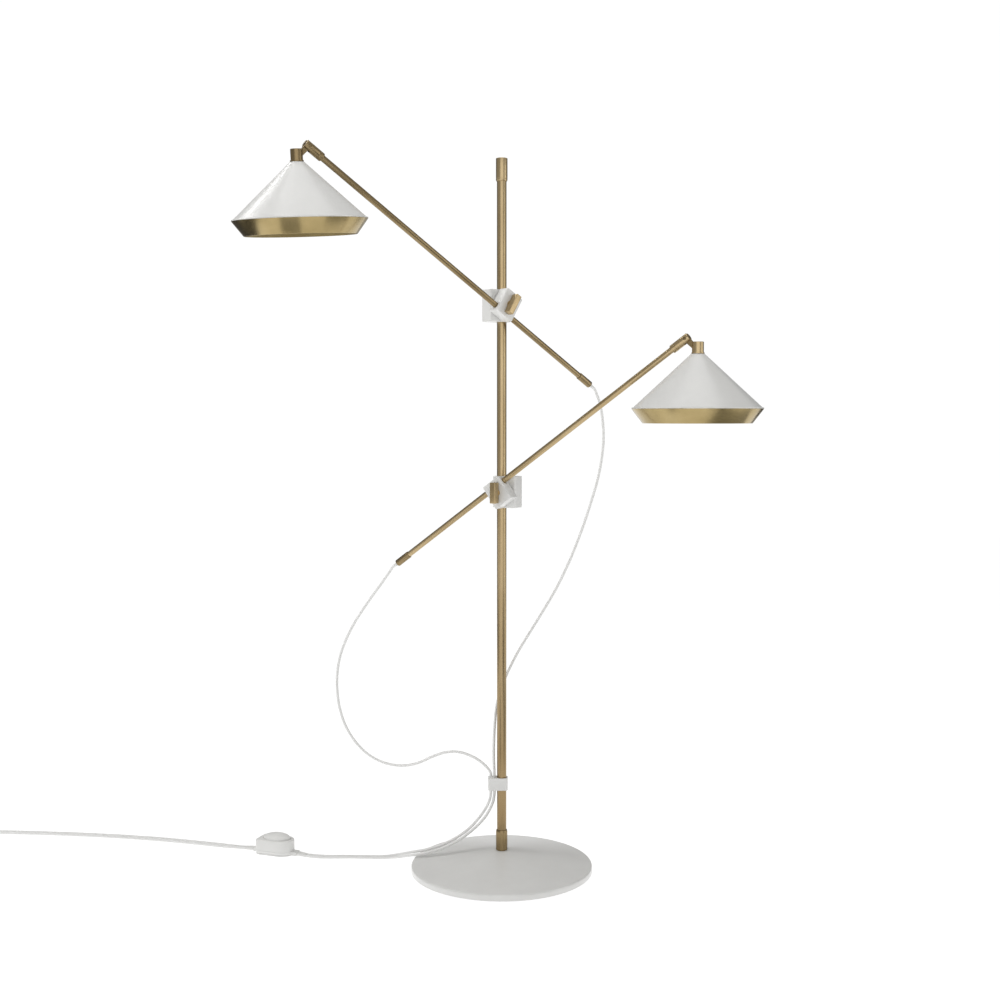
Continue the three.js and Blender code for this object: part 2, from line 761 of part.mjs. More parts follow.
function addSwitch() {
  const g = new THREE.Group();
  g.position.set(...SWITCH_AT, 0);
  g.rotation.z = rad(SWITCH_TURN);
  lamp.add(g);
  g.add(mesh("switch_housing", switchHousing(), WHITE_PLASTIC));
  g.add(mesh("switch_plate", extruded(switchPlan(0.5), 0, SWITCH_PLATE_T, 6), RUBBER));
  g.add(mesh("switch_pedal", switchPedal(), WHITE_PLASTIC));
}

// ---- cords ----
// Where a cord meets the switch: end is 1 at the far end from the pole, lane 1 is the rear cord.
function switchEntry(end, lane) {
  const a = rad(SWITCH_TURN);
  const out = end * (SWITCH_L / 2 + COLLAR_OUT + CORD_END);
  const aside = -lane * (CORD_R + 1);
  return new THREE.Vector3(
    SWITCH_AT[0] + out * Math.cos(a) - aside * Math.sin(a),
    SWITCH_AT[1] + out * Math.sin(a) + aside * Math.cos(a),
    SWITCH_CORD_Z,
  );
}

// Where the cord leaves an arm's gland, or a point straight past it.
function glandTip({ side, height, swing, rise, reach }, past) {
  const tip = new THREE.Vector3(reach - ARM_L - GLAND_OUT - past, 0, ARM_OFFSET);
  const ahead = new THREE.Vector3(side * Math.cos(rad(rise)), 0, Math.sin(rad(rise)));
  const back = new THREE.Vector3(0, 1, 0);
  tip.applyMatrix4(new THREE.Matrix4().makeBasis(ahead, back, ahead.clone().cross(back)));
  tip.add(new THREE.Vector3(side * BOLT_OFFSET, -ARM_MIDDLE, 0));
  return tip.applyAxisAngle(new THREE.Vector3(0, 0, 1), rad(swing)).add(new THREE.Vector3(0, 0, height));
}

function cordTube(points, steps) {
  const section = new THREE.Shape();
  for (let i = 0; i < CORD_SIDES; i++) {
    const a = ((i + 0.5) * 2 * Math.PI) / CORD_SIDES;
    if (i) section.lineTo(CORD_R * Math.cos(a), CORD_R * Math.sin(a));
    else section.moveTo(CORD_R * Math.cos(a), CORD_R * Math.sin(a));
  }
  section.closePath();
  const route = points.map((p) => (p.isVector3 ? p : new THREE.Vector3(...p)));
  const extrudePath = new THREE.CurvePath(); // its first stretch is straight
  extrudePath.add(new THREE.LineCurve3(route[0], route[1]));
  extrudePath.add(new THREE.CatmullRomCurve3(route.slice(1), false, "centripetal"));
  return solid(new THREE.ExtrudeGeometry(section, { steps, extrudePath, bevelEnabled: false }));
}

const LIE = CORD_R + 0.2; // a cord's middle when it lies on the floor
const clipPoint = (x, z) => [x, 0, z];

// From each arm's tail down to the clip
const UPPER_HANG = [
  glandTip(ARMS[0], CORD_END),
  glandTip(ARMS[0], 6),
  [207.5, 121.8, 1015],
  [214.5, 126.5, 996],
  [220.5, 130, 965],
  [223.5, 131, 920],
  [219.5, 128.5, 875],
  [210, 122, 828],
  [197, 114.5, 785],
  [182, 106, 740],
  [163, 96, 690],
  [141, 84.5, 640],
  [115, 72, 590],
  [84, 58, 540],
  [58, 46, 500],
  [33, 36, 460],
  [12.5, 27.5, 420],
  [-2, 21, 385],
  [-11, 15.5, 350],
  [-14.8, 11, 315],
  [-16.6, 7, 280],
  [-17, 3.5, 245],
  [-16.3, 0.8, 221],
  clipPoint(CORD_INNER_X, CLIP_TOP + 9),
  clipPoint(CORD_INNER_X, CLIP_TOP + 1 + CORD_END),
];
const LOWER_HANG = [
  glandTip(ARMS[1], CORD_END),
  glandTip(ARMS[1], 6),
  [-247, 104, 625],
  [-262, 109, 604],
  [-283, 114, 575],
  [-306, 119.5, 542],
  [-328, 123.5, 507],
  [-346, 126, 470],
  [-358, 126, 435],
  [-363.5, 123.5, 400],
  [-363.5, 119, 365],
  [-358, 112.5, 328],
  [-345, 104, 290],
  [-322, 94, 255],
  [-291, 82.5, 228],
  [-255, 71, 213],
  [-217, 59.5, 210],
  [-183, 49, 218],
  [-150, 38.5, 235],
  [-121, 28.5, 247],
  [-92, 18.5, 250.5],
  [-64, 10, 243.5],
  [-43, 4, 232],
  [-29, 0.8, 219],
  clipPoint(CORD_OUTER_X, CLIP_TOP + 7),
  clipPoint(CORD_OUTER_X, CLIP_TOP + 1 + CORD_END),
];
// Through the clip, down over the foot's rim and along the floor to the switch
const UPPER_LEAD = [
  clipPoint(CORD_INNER_X, CLIP_TOP + 1),
  clipPoint(CORD_INNER_X, CLIP_Z - 12),
  [-19, 0.8, 146],
  [-36, 3.5, 113],
  [-74, 10, 74],
  [-122, 16, 44],
  [-165, 23, 28.5],
  [-197, 35, 19.5],
  [-228, 52, 9.5],
  [-258, 63, 4.2],
  [-293, 68, LIE],
  [-328, 70, LIE],
  [-365, 70, LIE],
  [-403, 71, LIE],
  [-430, 80.3, 3.4],
  switchEntry(-1, -1),
];
const LOWER_LEAD = [
  clipPoint(CORD_OUTER_X, CLIP_TOP + 1),
  clipPoint(CORD_OUTER_X, CLIP_Z - 12),
  [-27, 1.5, 148],
  [-39.5, 6.5, 123],
  [-75, 17.5, 80],
  [-122, 24, 49.5],
  [-164, 31.5, 33.5],
  [-194, 44, 24],
  [-224, 61, 13],
  [-256, 72, 5],
  [-293, 76.5, LIE],
  [-345, 78, LIE],
  [-390, 78.8, LIE],
  [-427, 87.8, 3.4],
  switchEntry(-1, 1),
];
// From the switch to the coils
const UPPER_TAIL = [
  switchEntry(1, -1),
  [-588, 135.5, 3.4],
  [-630, 146.5, LIE],
  [-672, 159, LIE],
  [-715, 172, LIE],
  [-765, 185.5, LIE],
  [-820, 198.5, LIE],
  [-880, 210.5, LIE],
  [-945, 221, LIE],
  [-1010, 229.5, LIE],
  [-1080, 236.5, LIE],
  [-1140, 241, LIE],
  [-1180, FRONT_CORD_Y, LIE],
  [coilFace(1, CORD_R), FRONT_CORD_Y, LIE],
];
const LOWER_TAIL = [
  switchEntry(1, 1),
  [-585, 143.5, 3.4],
  [-627, 157, LIE],
  [-670, 170.5, LIE],
  [-715, 184, LIE],
  [-765, 197.5, LIE],
  [-820, 210, LIE],
  [-880, 221.5, LIE],
  [-945, 231.5, LIE],
  [-1010, 239.5, LIE],
  [-1080, 246.5, LIE],
  [-1140, 251, LIE],
  [-1180, REAR_CORD_Y, LIE],
  [coilFace(1, CORD_R), REAR_CORD_Y, LIE],
];

// Where a piece of this half width, in line with a coil's outer turn, meets the coil's solid
function coilFace(direction, halfW) {
  const outer = COIL_MEAN_R + COIL_HALF_W;
  return COIL_X + direction * (Math.sqrt(outer ** 2 - (COIL_TURN_R - halfW) ** 2) + CORD_END);
}

function coil(y) {
  return tube(COIL_MEAN_R - COIL_HALF_W, COIL_MEAN_R + COIL_HALF_W, 0, COIL_H, 40).translate(COIL_X, y, 0);
}

// Plug frame: X from the tip of its nose to its pins, Z up, lying flat.
function plug() {
  const noseEnd = PLUG_NOSE_L + 1;
  const nose = alongX(turned([[0, 0], [PLUG_NOSE_R, 0], [PLUG_NOSE_R + 2, noseEnd], [0, noseEnd]], 16));
  const plan = roundedRect(PLUG_NOSE_L, -PLUG_W / 2, PLUG_NOSE_L + PLUG_L, PLUG_W / 2, 6);
  const body = extruded(plan, -PLUG_T / 2, PLUG_T / 2);
  const pins = [-1, 1].map((k) =>
    alongX(rod(PIN_R, PLUG_NOSE_L + PLUG_L - 1, PLUG_NOSE_L + PLUG_L + PIN_L, 12)).translate(
      0,
      (k * PIN_PITCH) / 2,
      0,
    ),
  );
  return join(nose, body, ...pins);
}

function addCords() {
  const tubes = [
    ["upper_hang", UPPER_HANG, 20],
    ["lower_hang", LOWER_HANG, 18],
    ["upper_lead", UPPER_LEAD, 15],
    ["lower_lead", LOWER_LEAD, 15],
    ["upper_tail", UPPER_TAIL, 6],
    ["lower_tail", LOWER_TAIL, 6],
  ];
  for (const [name, points, steps] of tubes) lamp.add(mesh(name, cordTube(points, steps), CORD_CLOTH));
  lamp.add(mesh("lower_coil", coil(REAR_CORD_Y + COIL_TURN_R), CORD_CLOTH));
  lamp.add(mesh("upper_coil", coil(FRONT_CORD_Y - COIL_TURN_R), CORD_CLOTH));
  const rear = mesh("lower_plug", plug(), WHITE_PLASTIC);
  rear.position.set(coilFace(-1, PLUG_NOSE_R), REAR_CORD_Y, PLUG_Z);
  rear.rotation.z = Math.PI;
  const front = mesh("upper_plug", plug(), WHITE_PLASTIC);
  const middle = FRONT_CORD_Y - COIL_TURN_R;
  front.position.set(COIL_X - COIL_TURN_R, middle - (COIL_X - coilFace(-1, PLUG_NOSE_R)), PLUG_Z);
  front.rotation.z = -Math.PI / 2;
  lamp.add(rear, front);
}

// ---- the lamp ----
const lamp = new THREE.Group();
lamp.add(mesh("foot_cover", footCover(), WHITE_PAINT));
lamp.add(mesh("foot_ballast", footBallast(), IRON));
lamp.add(mesh("foot_pad", rod(FOOT_R - PAD_INSET, 0, PAD_T, FOOT_SIDES), RUBBER));
lamp.add(mesh("foot_bolt", footBolt(), STEEL));
lamp.add(mesh("foot_ferrule", footFerrule(), BRASS));
lamp.add(mesh("pole_tube", tube(POLE_R - POLE_WALL, POLE_R, POLE_Z, POLE_TOP, 28), BRASS));
lamp.add(mesh("pole_cap", poleCap(), BRASS));
lamp.add(mesh("cable_clip", cableClip(), WHITE_PLASTIC));
lamp.add(mesh("clip_screw", clipScrew(), STEEL));
ARMS.forEach(addArm);
addSwitch();
addCords();

export default lamp;
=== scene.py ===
"""Looks of a floor lamp with two adjustable arms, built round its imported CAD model.

Metres in Blender, +Z up, the floor at z = 0. Sizes and routes below are in millimetres.
"""

import math

import bmesh
import bpy
from mathutils import Matrix, Vector


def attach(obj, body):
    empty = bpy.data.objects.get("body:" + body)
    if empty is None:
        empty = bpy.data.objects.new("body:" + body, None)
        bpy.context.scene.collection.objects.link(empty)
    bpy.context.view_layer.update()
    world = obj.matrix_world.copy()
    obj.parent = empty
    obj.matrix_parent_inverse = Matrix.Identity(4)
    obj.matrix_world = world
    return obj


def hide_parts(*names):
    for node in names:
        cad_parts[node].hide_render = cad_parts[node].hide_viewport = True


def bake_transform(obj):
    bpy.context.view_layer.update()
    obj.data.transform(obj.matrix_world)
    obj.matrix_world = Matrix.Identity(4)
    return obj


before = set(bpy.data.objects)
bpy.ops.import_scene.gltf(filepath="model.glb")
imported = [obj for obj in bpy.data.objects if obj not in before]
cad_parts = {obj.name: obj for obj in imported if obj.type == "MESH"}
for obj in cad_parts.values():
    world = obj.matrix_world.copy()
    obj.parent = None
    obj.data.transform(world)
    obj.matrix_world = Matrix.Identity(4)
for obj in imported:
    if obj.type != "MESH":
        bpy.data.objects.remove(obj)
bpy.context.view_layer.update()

MM = 0.001
CORNER_STEPS = 4
UP = Vector((0, 0, 1))

# ---- sizes, as in the CAD model ----
GAP = 0.3
POLE_R, POLE_WALL = 10, 2
LAMP_H = 1500
POLE_FOOT, GRUB_Z = 58.6, 66
BLOCK_W, BLOCK_D, BLOCK_H = 54, 32, 66
BOLT_OFFSET, PIVOT_R, THREAD_DEPTH = 14, 4, 7.3
BUSH_WALL, GUIDE_WALL = 1.6, 1.2
WASHER_R, WASHER_T = 16, 0.9
ARM_BLOCK_L, ARM_BLOCK_D, ARM_BLOCK_H = 44, 28, 54
ARM_OFFSET = 15
ARM_R, ARM_WALL, ARM_L = 6, 1.5, 821
TAIL_R, TAIL_L, TAIL_STOP = 7.5, 36, 8
SWIVEL_R, COLLAR_L, FORK_L, FORK_SPIGOT_L = 8.6, 9.7, 32, 20
SLOT_DEPTH, LINK_T, TILT_IN, TILT_R = 15.3, 6, 7, 2
GLAND_OUT, GLAND_IN = 10, 14
LINK_EYE_R, LINK_HALF_W, LINK_SLOPE = 7.5, 5, 42.5
CAP_OUT, CAP_DOWN = 24, 16.6
HEAD_CAP_R, HEAD_CAP_HALF_H, HEAD_CAP_WALL = 11.25, 10.25, 3.25
FLANGE_R, FLANGE_T = 12.75, 2
NIPPLE_R = 5
SHADE_TOP_R, SHADE_R, SHADE_H, SHADE_T = 12.5, 125, 104, 1.2
RING_H, RING_IN = 27.7, 21
HOLDER_R, HOLDER_H, HOLDER_NECK_R = 14, 50, 10.5
HOLDER_MOUTH_R, HOLDER_MOUTH_H = 8.5, 22
BULB_R, BULB_L, BULB_CAP_R = 22.5, 86, 8.2
KNOB_W, KNOB_D, KNOB_L, KNOB_SKIN = 12.5, 16, 43, 4
SWITCH_AT, SWITCH_TURN = (-500, 110), 160
SWITCH_L, SWITCH_W, SWITCH_TOP = 84, 50, 34
PEDAL_HALF_W, PEDAL_STRETCH, PEDAL_AT, PEDAL_DOME = 21, 1.5, -2, 10.5
POCKET_DEPTH = 20
COLLAR_OUT, SWITCH_CORD_Z = 12, 5
CORD_R, CORD_SIDES, CORD_STEP = 3, 14, 4
CORD_PITCH = 7.6
CLIP_Z, CLIP_H, CLIP_DEPTH, CLIP_RIGHT, CLIP_WALL = 175, 26, 28, 13, 2.3
COIL_TURN_R, COIL_STEP = 37.5, 6.5
COIL_X = -1234
REAR_CORD_Y, FRONT_CORD_Y = 252.5, 242.5
PLUG_NOSE_TIP = 23.8  # from the coil's middle, along the cord

ARM_FRONT = BLOCK_D / 2 + WASHER_T + 2 * GAP
ARM_MIDDLE = ARM_FRONT + ARM_BLOCK_D / 2
KNOB_FACE = ARM_FRONT + ARM_BLOCK_D + GAP
SHADE_Z = -(HEAD_CAP_HALF_H + FLANGE_T + GAP)
RING_Z = SHADE_Z - SHADE_H - GAP
HOLDER_Z = SHADE_Z - SHADE_T - GAP
CLIP_TOP = CLIP_Z + CLIP_H
CORD_INNER_X = -(POLE_R + GAP + CLIP_WALL + CORD_R + GAP)
CORD_OUTER_X = CORD_INNER_X - CORD_PITCH
LIE = CORD_R + 0.2

ARMS = {
    "upper": dict(side=-1, height=1196, swing=38, rise=31.6, reach=540, lean=31.6, roll=-4.5, nod=5),
    "lower": dict(side=1, height=810, swing=-30, rise=35, reach=518, lean=0, roll=0, nod=0),
}
# The upper arm's brass takes the deep tone: painted shade.
BRASS_TONE = {"upper": "_deep", "lower": ""}

# ---- frames of each arm ----


def shifted(x, y, z):
    return Matrix.Translation(Vector((x, y, z)) * MM)


def basis(x_axis, y_axis):
    x, y = Vector(x_axis).normalized(), Vector(y_axis).normalized()
    return Matrix((x, y, x.cross(y))).transposed().to_4x4()


def in_plane(degrees, up=1):
    """A direction in the XZ plane, degrees above X, or below it where up is -1."""
    a = math.radians(degrees)
    return (math.cos(a), 0, up * math.sin(a))


def arm_frames(arm):
    side, swing, roll = arm["side"], math.radians(arm["swing"]), math.radians(arm["roll"])
    ahead = in_plane(arm["rise"])
    ahead = (side * ahead[0], 0, ahead[2])
    outward = in_plane(arm["rise"] + arm["nod"])
    at = {"clamp": shifted(0, 0, arm["height"]) @ Matrix.Rotation(swing, 4, "Z")}
    at["bolt"] = at["clamp"] @ shifted(side * BOLT_OFFSET, 0, 0)
    at["knob"] = at["bolt"] @ basis(in_plane(arm["lean"], -1), (0, 1, 0))
    at["holder"] = at["bolt"] @ shifted(0, -ARM_MIDDLE, 0) @ basis(ahead, (0, 1, 0))
    at["line"] = at["holder"] @ shifted(0, 0, ARM_OFFSET)
    at["arm"] = at["line"] @ shifted(arm["reach"], 0, 0)
    at["swivel"] = at["arm"] @ basis((1, 0, 0), (0, math.cos(roll), math.sin(roll)))
    at["pin"] = at["swivel"] @ shifted(-TILT_IN, 0, 0)
    at["head"] = at["pin"] @ basis((outward[0], 0, -side * outward[2]), (0, side, 0))
    at["hung"] = at["head"] @ shifted(CAP_OUT, 0, -CAP_DOWN)
    return at


AT = {name: arm_frames(arm) for name, arm in ARMS.items()}
ALONG_X = Matrix.Rotation(math.pi / 2, 4, "Y")  # Z turned to X
ALONG_BACK = Matrix.Rotation(-math.pi / 2, 4, "X")  # Z turned to +Y
LYING = Matrix.Rotation(math.pi / 2, 4, "X")  # Z turned to -Y

# ---- camera ----
camera_data = bpy.data.cameras.new("camera")
camera_data.sensor_width = 36
camera_data.lens = 48
camera = bpy.data.objects.new("camera", camera_data)
camera.location = Vector((-3.6, -2796, 968)) * MM
camera.rotation_euler = (math.radians(86.4), 0, 0)
bpy.context.scene.collection.objects.link(camera)
bpy.context.scene.camera = camera

# ---- materials ----


def shader_of(material):
    return material.node_tree.nodes["Principled BSDF"]


def new_material(name, metallic=0.0, specular=0.5, coat=0.0, coat_roughness=0.1):
    material = bpy.data.materials.new(name)
    material.use_nodes = True
    shader = shader_of(material)
    shader.inputs["Metallic"].default_value = metallic
    shader.inputs["Specular IOR Level"].default_value = specular
    shader.inputs["Coat Weight"].default_value = coat
    shader.inputs["Coat Roughness"].default_value = coat_roughness
    return material


def add_node(material, kind, inputs=None, **settings):
    node = material.node_tree.nodes.new(kind)
    for key, value in settings.items():
        setattr(node, key, value)
    for key, value in (inputs or {}).items():
        if isinstance(value, bpy.types.NodeSocket):
            material.node_tree.links.new(value, node.inputs[key])
        else:
            node.inputs[key].default_value = value
    return node


def connect(material, output, key):
    material.node_tree.links.new(output, shader_of(material).inputs[key])


def noise_of(material, scale, stretch=(1, 1, 1), detail=4.0, rough=0.55):
    """Noise in the piece's own coordinates; scale is in features per metre."""
    place = add_node(material, "ShaderNodeTexCoord").outputs["Object"]
    mapped = add_node(material, "ShaderNodeMapping", {"Vector": place, "Scale": stretch})
    inputs = {"Vector": mapped.outputs["Vector"], "Scale": scale, "Detail": detail, "Roughness": rough}
    return add_node(material, "ShaderNodeTexNoise", inputs).outputs["Fac"]


def ramp_of(material, value, *stops):
    """A colour ramp through (position, colour) stops."""
    ramp = add_node(material, "ShaderNodeValToRGB", {"Fac": value})
    for i, (position, colour) in enumerate(stops):
        element = ramp.color_ramp.elements[i] if i < 2 else ramp.color_ramp.elements.new(position)
        element.position = position
        element.color = (*colour, 1)
    return ramp.outputs["Color"]


def ranged(material, value, low, high, from_low=0.3, from_high=0.7):
    inputs = {"Value": value, "From Min": from_low, "From Max": from_high, "To Min": low, "To Max": high}
    return add_node(material, "ShaderNodeMapRange", inputs).outputs["Result"]


def mixed(material, share, a, b, blend_type="MIX"):
    mix = add_node(material, "ShaderNodeMix", data_type="RGBA", blend_type=blend_type)
    colours = [s for s in mix.inputs if s.type == "RGBA"]
    for socket, value in ((mix.inputs[0], share), (colours[0], a), (colours[1], b)):
        if isinstance(value, bpy.types.NodeSocket):
            material.node_tree.links.new(value, socket)
        else:
            socket.default_value = value
    return next(s for s in mix.outputs if s.type == "RGBA")


def bump_of(material, height, metres, strength=1.0, below=None):
    inputs = {"Height": height, "Distance": metres, "Strength": strength}
    if below is not None:
        inputs["Normal"] = below
    return add_node(material, "ShaderNodeBump", inputs).outputs["Normal"]


def grained(name, dark, light, roughness, grain, depth, **settings):
    """A smooth or cast surface: slow change of tone, fine grain, and roughness that follows both."""
    material = new_material(name, **settings)
    slow = noise_of(material, 18, detail=3.0)
    fine = noise_of(material, grain, detail=5.0)
    connect(material, ramp_of(material, slow, (0.3, dark), (0.7, light)), "Base Color")
    connect(material, ranged(material, fine, *roughness), "Roughness")
    connect(material, bump_of(material, fine, depth), "Normal")
    return material


def brushed_brass(name, lines, tones, roughness, along, painted_shade_below=None):
    """Antique brass with fine brush lines: round the piece's own Z, or along it.

    It can get darker towards the bottom, below a height in metres, as painted shade."""
    material = new_material(name, metallic=1.0)
    shader = shader_of(material)
    shader.inputs["Anisotropic"].default_value = 0.55
    shader.inputs["Anisotropic Rotation"].default_value = 0.0 if along else 0.25
    tangent = add_node(material, "ShaderNodeTangent", direction_type="RADIAL", axis="Z")
    connect(material, tangent.outputs["Tangent"], "Tangent")
    hair = noise_of(material, 34, lines, detail=6.0, rough=0.7)
    patina = noise_of(material, 14, (1, 1, 0.4) if along else (1, 1, 1), detail=3.0)
    dark, middle, light = tones
    base = ramp_of(material, patina, (0.28, dark), (0.52, middle), (0.75, light))
    streak = ramp_of(material, hair, (0.25, (0.86, 0.85, 0.83)), (0.75, (1.0, 1.0, 1.0)))
    colour = mixed(material, 1.0, base, streak, "MULTIPLY")
    # Painted shade: the brass is darkened towards the bottom.
    if painted_shade_below:
        place = add_node(material, "ShaderNodeTexCoord").outputs["Object"]
        height = add_node(material, "ShaderNodeSeparateXYZ", {"Vector": place}).outputs["Z"]
        share = ranged(material, height, 0.0, 1.0, 0.0, painted_shade_below)
        shade = ramp_of(material, share, (0.0, (0.60, 0.56, 0.52)), (1.0, (1.0, 1.0, 1.0)))
        colour = mixed(material, 1.0, colour, shade, "MULTIPLY")
    connect(material, colour, "Base Color")
    connect(material, ranged(material, hair, *roughness), "Roughness")
    connect(material, bump_of(material, hair, 0.00001, 0.5), "Normal")
    return material


def brass_looks():
    """Brushed round, along or across a piece, in a light tone and a deep one: the same brass darkened as
    painted shade.
    """
    light = ((0.46, 0.345, 0.185), (0.54, 0.415, 0.235), (0.61, 0.48, 0.285))
    # The deep tone is the light brass darkened: painted shade.
    deep = ((0.24, 0.175, 0.09), (0.32, 0.24, 0.128), (0.40, 0.305, 0.17))
    rim = ((0.38, 0.295, 0.135), (0.46, 0.36, 0.175), (0.54, 0.43, 0.22))
    around, along, across = (0.5, 0.5, 60), (60, 60, 0.5), (60, 0.5, 60)
    looks = {"brass_rim": brushed_brass("brass_rim", around, rim, (0.18, 0.26), False)}
    for ending, tones in (("", light), ("_deep", deep)):
        for name, lines in (("round", around), ("long", along), ("flat", across)):
            full = f"brass_{name}{ending}"
            looks[full] = brushed_brass(full, lines, tones, (0.24, 0.32), name != "round")
    # The pole's brass is darkened towards the bottom: painted shade.
    looks["brass_pole"] = brushed_brass("brass_pole", along, light, (0.24, 0.32), True, painted_shade_below=1.1)
    return {name: ("brass", material) for name, material in looks.items()}


STRANDS_AROUND, STRANDS_PER_METRE = 6.0, 330.0


def braided(name):
    """Textile braid over a cord: two sets of strands that cross, laid out by the tube's own UV map, with
    painted shade in the dips between strands.
    """
    material = new_material(name, specular=0.25)
    shader_of(material).inputs["Sheen Weight"].default_value = 0.25
    shader_of(material).inputs["Sheen Roughness"].default_value = 0.6
    uv = add_node(material, "ShaderNodeUVMap", uv_map="braid")
    apart = add_node(material, "ShaderNodeSeparateXYZ", {"Vector": uv.outputs["UV"]})

    def sum_of(operation, a, b):
        return add_node(material, "ShaderNodeMath", {0: a, 1: b}, operation=operation).outputs[0]

    around = sum_of("MULTIPLY", apart.outputs["X"], STRANDS_AROUND)
    onward = sum_of("MULTIPLY", apart.outputs["Y"], STRANDS_PER_METRE)
    strands = [sum_of("PINGPONG", sum_of(turn, around, onward), 0.5) for turn in ("ADD", "SUBTRACT")]
    height = sum_of("MAXIMUM", *strands)
    fuzz = noise_of(material, 2200, detail=3.0)
    # The dips between strands are painted darker: painted shade.
    tones = ((0.12, (0.80, 0.80, 0.79)), (0.34, (0.91, 0.91, 0.90)), (0.5, (0.94, 0.94, 0.93)))
    tone = ramp_of(material, height, *tones)
    soft = ramp_of(material, fuzz, (0.35, (0.9, 0.9, 0.9)), (0.7, (1, 1, 1)))
    connect(material, mixed(material, 1.0, tone, soft, "MULTIPLY"), "Base Color")
    connect(material, ranged(material, fuzz, 0.7, 0.9), "Roughness")
    strands_bump = bump_of(material, height, 0.0004)
    connect(material, bump_of(material, fuzz, 0.0002, 0.5, strands_bump), "Normal")
    return material


# Record slot, material, dark tone, light tone, roughness, grain in features a metre, depth in metres
GRAINED = {
    "paint": (
        "white_paint",
        "white_paint", (0.725, 0.725, 0.71), (0.76, 0.76, 0.745), (0.29, 0.34), 260, 0.000004,
    ),
    "steel": ("steel", "turned_steel", (0.42, 0.42, 0.42), (0.58, 0.58, 0.57), (0.25, 0.42), 1500, 0.00003),
    "iron": ("cast_iron", "cast_iron", (0.035, 0.035, 0.037), (0.08, 0.08, 0.083), (0.65, 0.9), 420, 0.0004),
    "rubber": (
        "rubber",
        "felt_rubber", (0.012, 0.012, 0.013), (0.03, 0.03, 0.032), (0.8, 0.95), 1300, 0.0003,
    ),
    "nylon": ("nylon", "nylon", (0.66, 0.65, 0.60), (0.74, 0.73, 0.68), (0.4, 0.55), 600, 0.00005),
    "fibre": ("fibre", "fibre_washer", (0.015, 0.012, 0.010), (0.04, 0.03, 0.025), (0.75, 0.9), 1700, 0.0001),
    "plastic": (
        "white_plastic",
        "white_plastic", (0.77, 0.77, 0.755), (0.81, 0.81, 0.795), (0.32, 0.45), 1100, 0.00004,
    ),
    "black": (
        "black_plastic",
        "black_plastic", (0.012, 0.012, 0.013), (0.025, 0.025, 0.027), (0.35, 0.5), 1000, 0.00006,
    ),
    "opal": ("opal_glass", "opal_glass", (0.84, 0.82, 0.77), (0.88, 0.87, 0.82), (0.08, 0.14), 300, 0.00002),
}
FINISH = {
    "paint": {"coat": 0.35, "coat_roughness": 0.22},
    "steel": {"metallic": 1.0},
    "iron": {"metallic": 0.6},
    "opal": {"coat": 0.8},
}
LOOKS = {
    look: (slot, grained(*facts, **FINISH.get(look, {}))) for look, (slot, *facts) in GRAINED.items()
}
LOOKS["cord"] = ("cord", braided("cord_braid"))
LOOKS.update(brass_looks())

# ---- meshes ----


def named_mesh(name, bm, look, smooth_to=32):
    """The finished bmesh, in millimetres, as a mesh in metres, smooth up to that angle in degrees."""
    bmesh.ops.scale(bm, vec=(MM, MM, MM), verts=bm.verts)
    bmesh.ops.recalc_face_normals(bm, faces=bm.faces)
    mesh = bpy.data.meshes.new(name)
    bm.to_mesh(mesh)
    bm.free()
    mesh.materials.append(LOOKS[look][1])
    shade_smooth(mesh, smooth_to)
    return mesh


def shade_smooth(mesh, smooth_to):
    mesh.polygons.foreach_set("use_smooth", [True] * len(mesh.polygons))
    mesh.set_sharp_from_angle(angle=math.radians(smooth_to))


def placed(name, data):
    obj = bpy.data.objects.new(name, data)
    bpy.context.scene.collection.objects.link(obj)
    return obj


def piece(name, bm, look, at, body, *nodes, tools=(), smooth_to=32):
    """A named piece of the lamp: carved, placed, riding on its body, standing for its CAD nodes."""
    obj = placed(name, named_mesh(name, bm, look, smooth_to))
    for operation, tool in tools:
        combine(obj, tool, operation)
    if tools:
        shade_smooth(obj.data, smooth_to)
    obj.matrix_world = at
    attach(obj, body)
    if nodes:
        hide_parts(*nodes)
    return obj


def arm_piece(name, own, bm, look, at, body, node, **more):
    """A piece of one arm, whose own name, body and CAD node all start with the arm's name."""
    return piece(f"{name}_{own}", bm, look, at, f"{name}_{body}", f"{name}_{node}", **more)


def combine(obj, tool_bm, operation):
    """Cuts a tool out of the piece, or joins it on, and leaves a plain mesh."""
    tool = placed("tool", named_mesh("tool", tool_bm, "steel"))
    tool.data.materials.clear()
    modifier = obj.modifiers.new("combine", "BOOLEAN")
    modifier.operation = operation
    modifier.solver = "EXACT"
    modifier.object = tool
    shown = obj.evaluated_get(bpy.context.evaluated_depsgraph_get())
    old, obj.data = obj.data, bpy.data.meshes.new_from_object(shown)
    obj.modifiers.clear()
    bpy.data.meshes.remove(old)
    obj.data.name = obj.name
    spare = tool.data
    bpy.data.objects.remove(tool)
    bpy.data.meshes.remove(spare)


def cut(*bodies):
    return [("DIFFERENCE", body) for body in bodies]


def corner_points(before, corner, after, radius):
    b, c, a = Vector(before), Vector(corner[:2]), Vector(after)
    back, on = b - c, a - c
    reach = min(radius, 0.45 * back.length, 0.45 * on.length)
    if reach < 1e-6:
        return [tuple(c)]
    start, end = c + back.normalized() * reach, c + on.normalized() * reach
    shares = [i / CORNER_STEPS for i in range(CORNER_STEPS + 1)]
    return [tuple(start.lerp(c, t).lerp(c.lerp(end, t), t)) for t in shares]


def eased(profile, radius, closed):
    """The profile with its corners rounded. A corner's own third value overrides the radius."""
    flat = [p[:2] for p in profile]
    count = len(profile)
    out = []
    for i, corner in enumerate(profile):
        if not closed and i in (0, count - 1):
            out.append(flat[i])
            continue
        own = corner[2] if len(corner) > 2 else radius
        out += corner_points(flat[i - 1], corner, flat[(i + 1) % count], own)
    return out


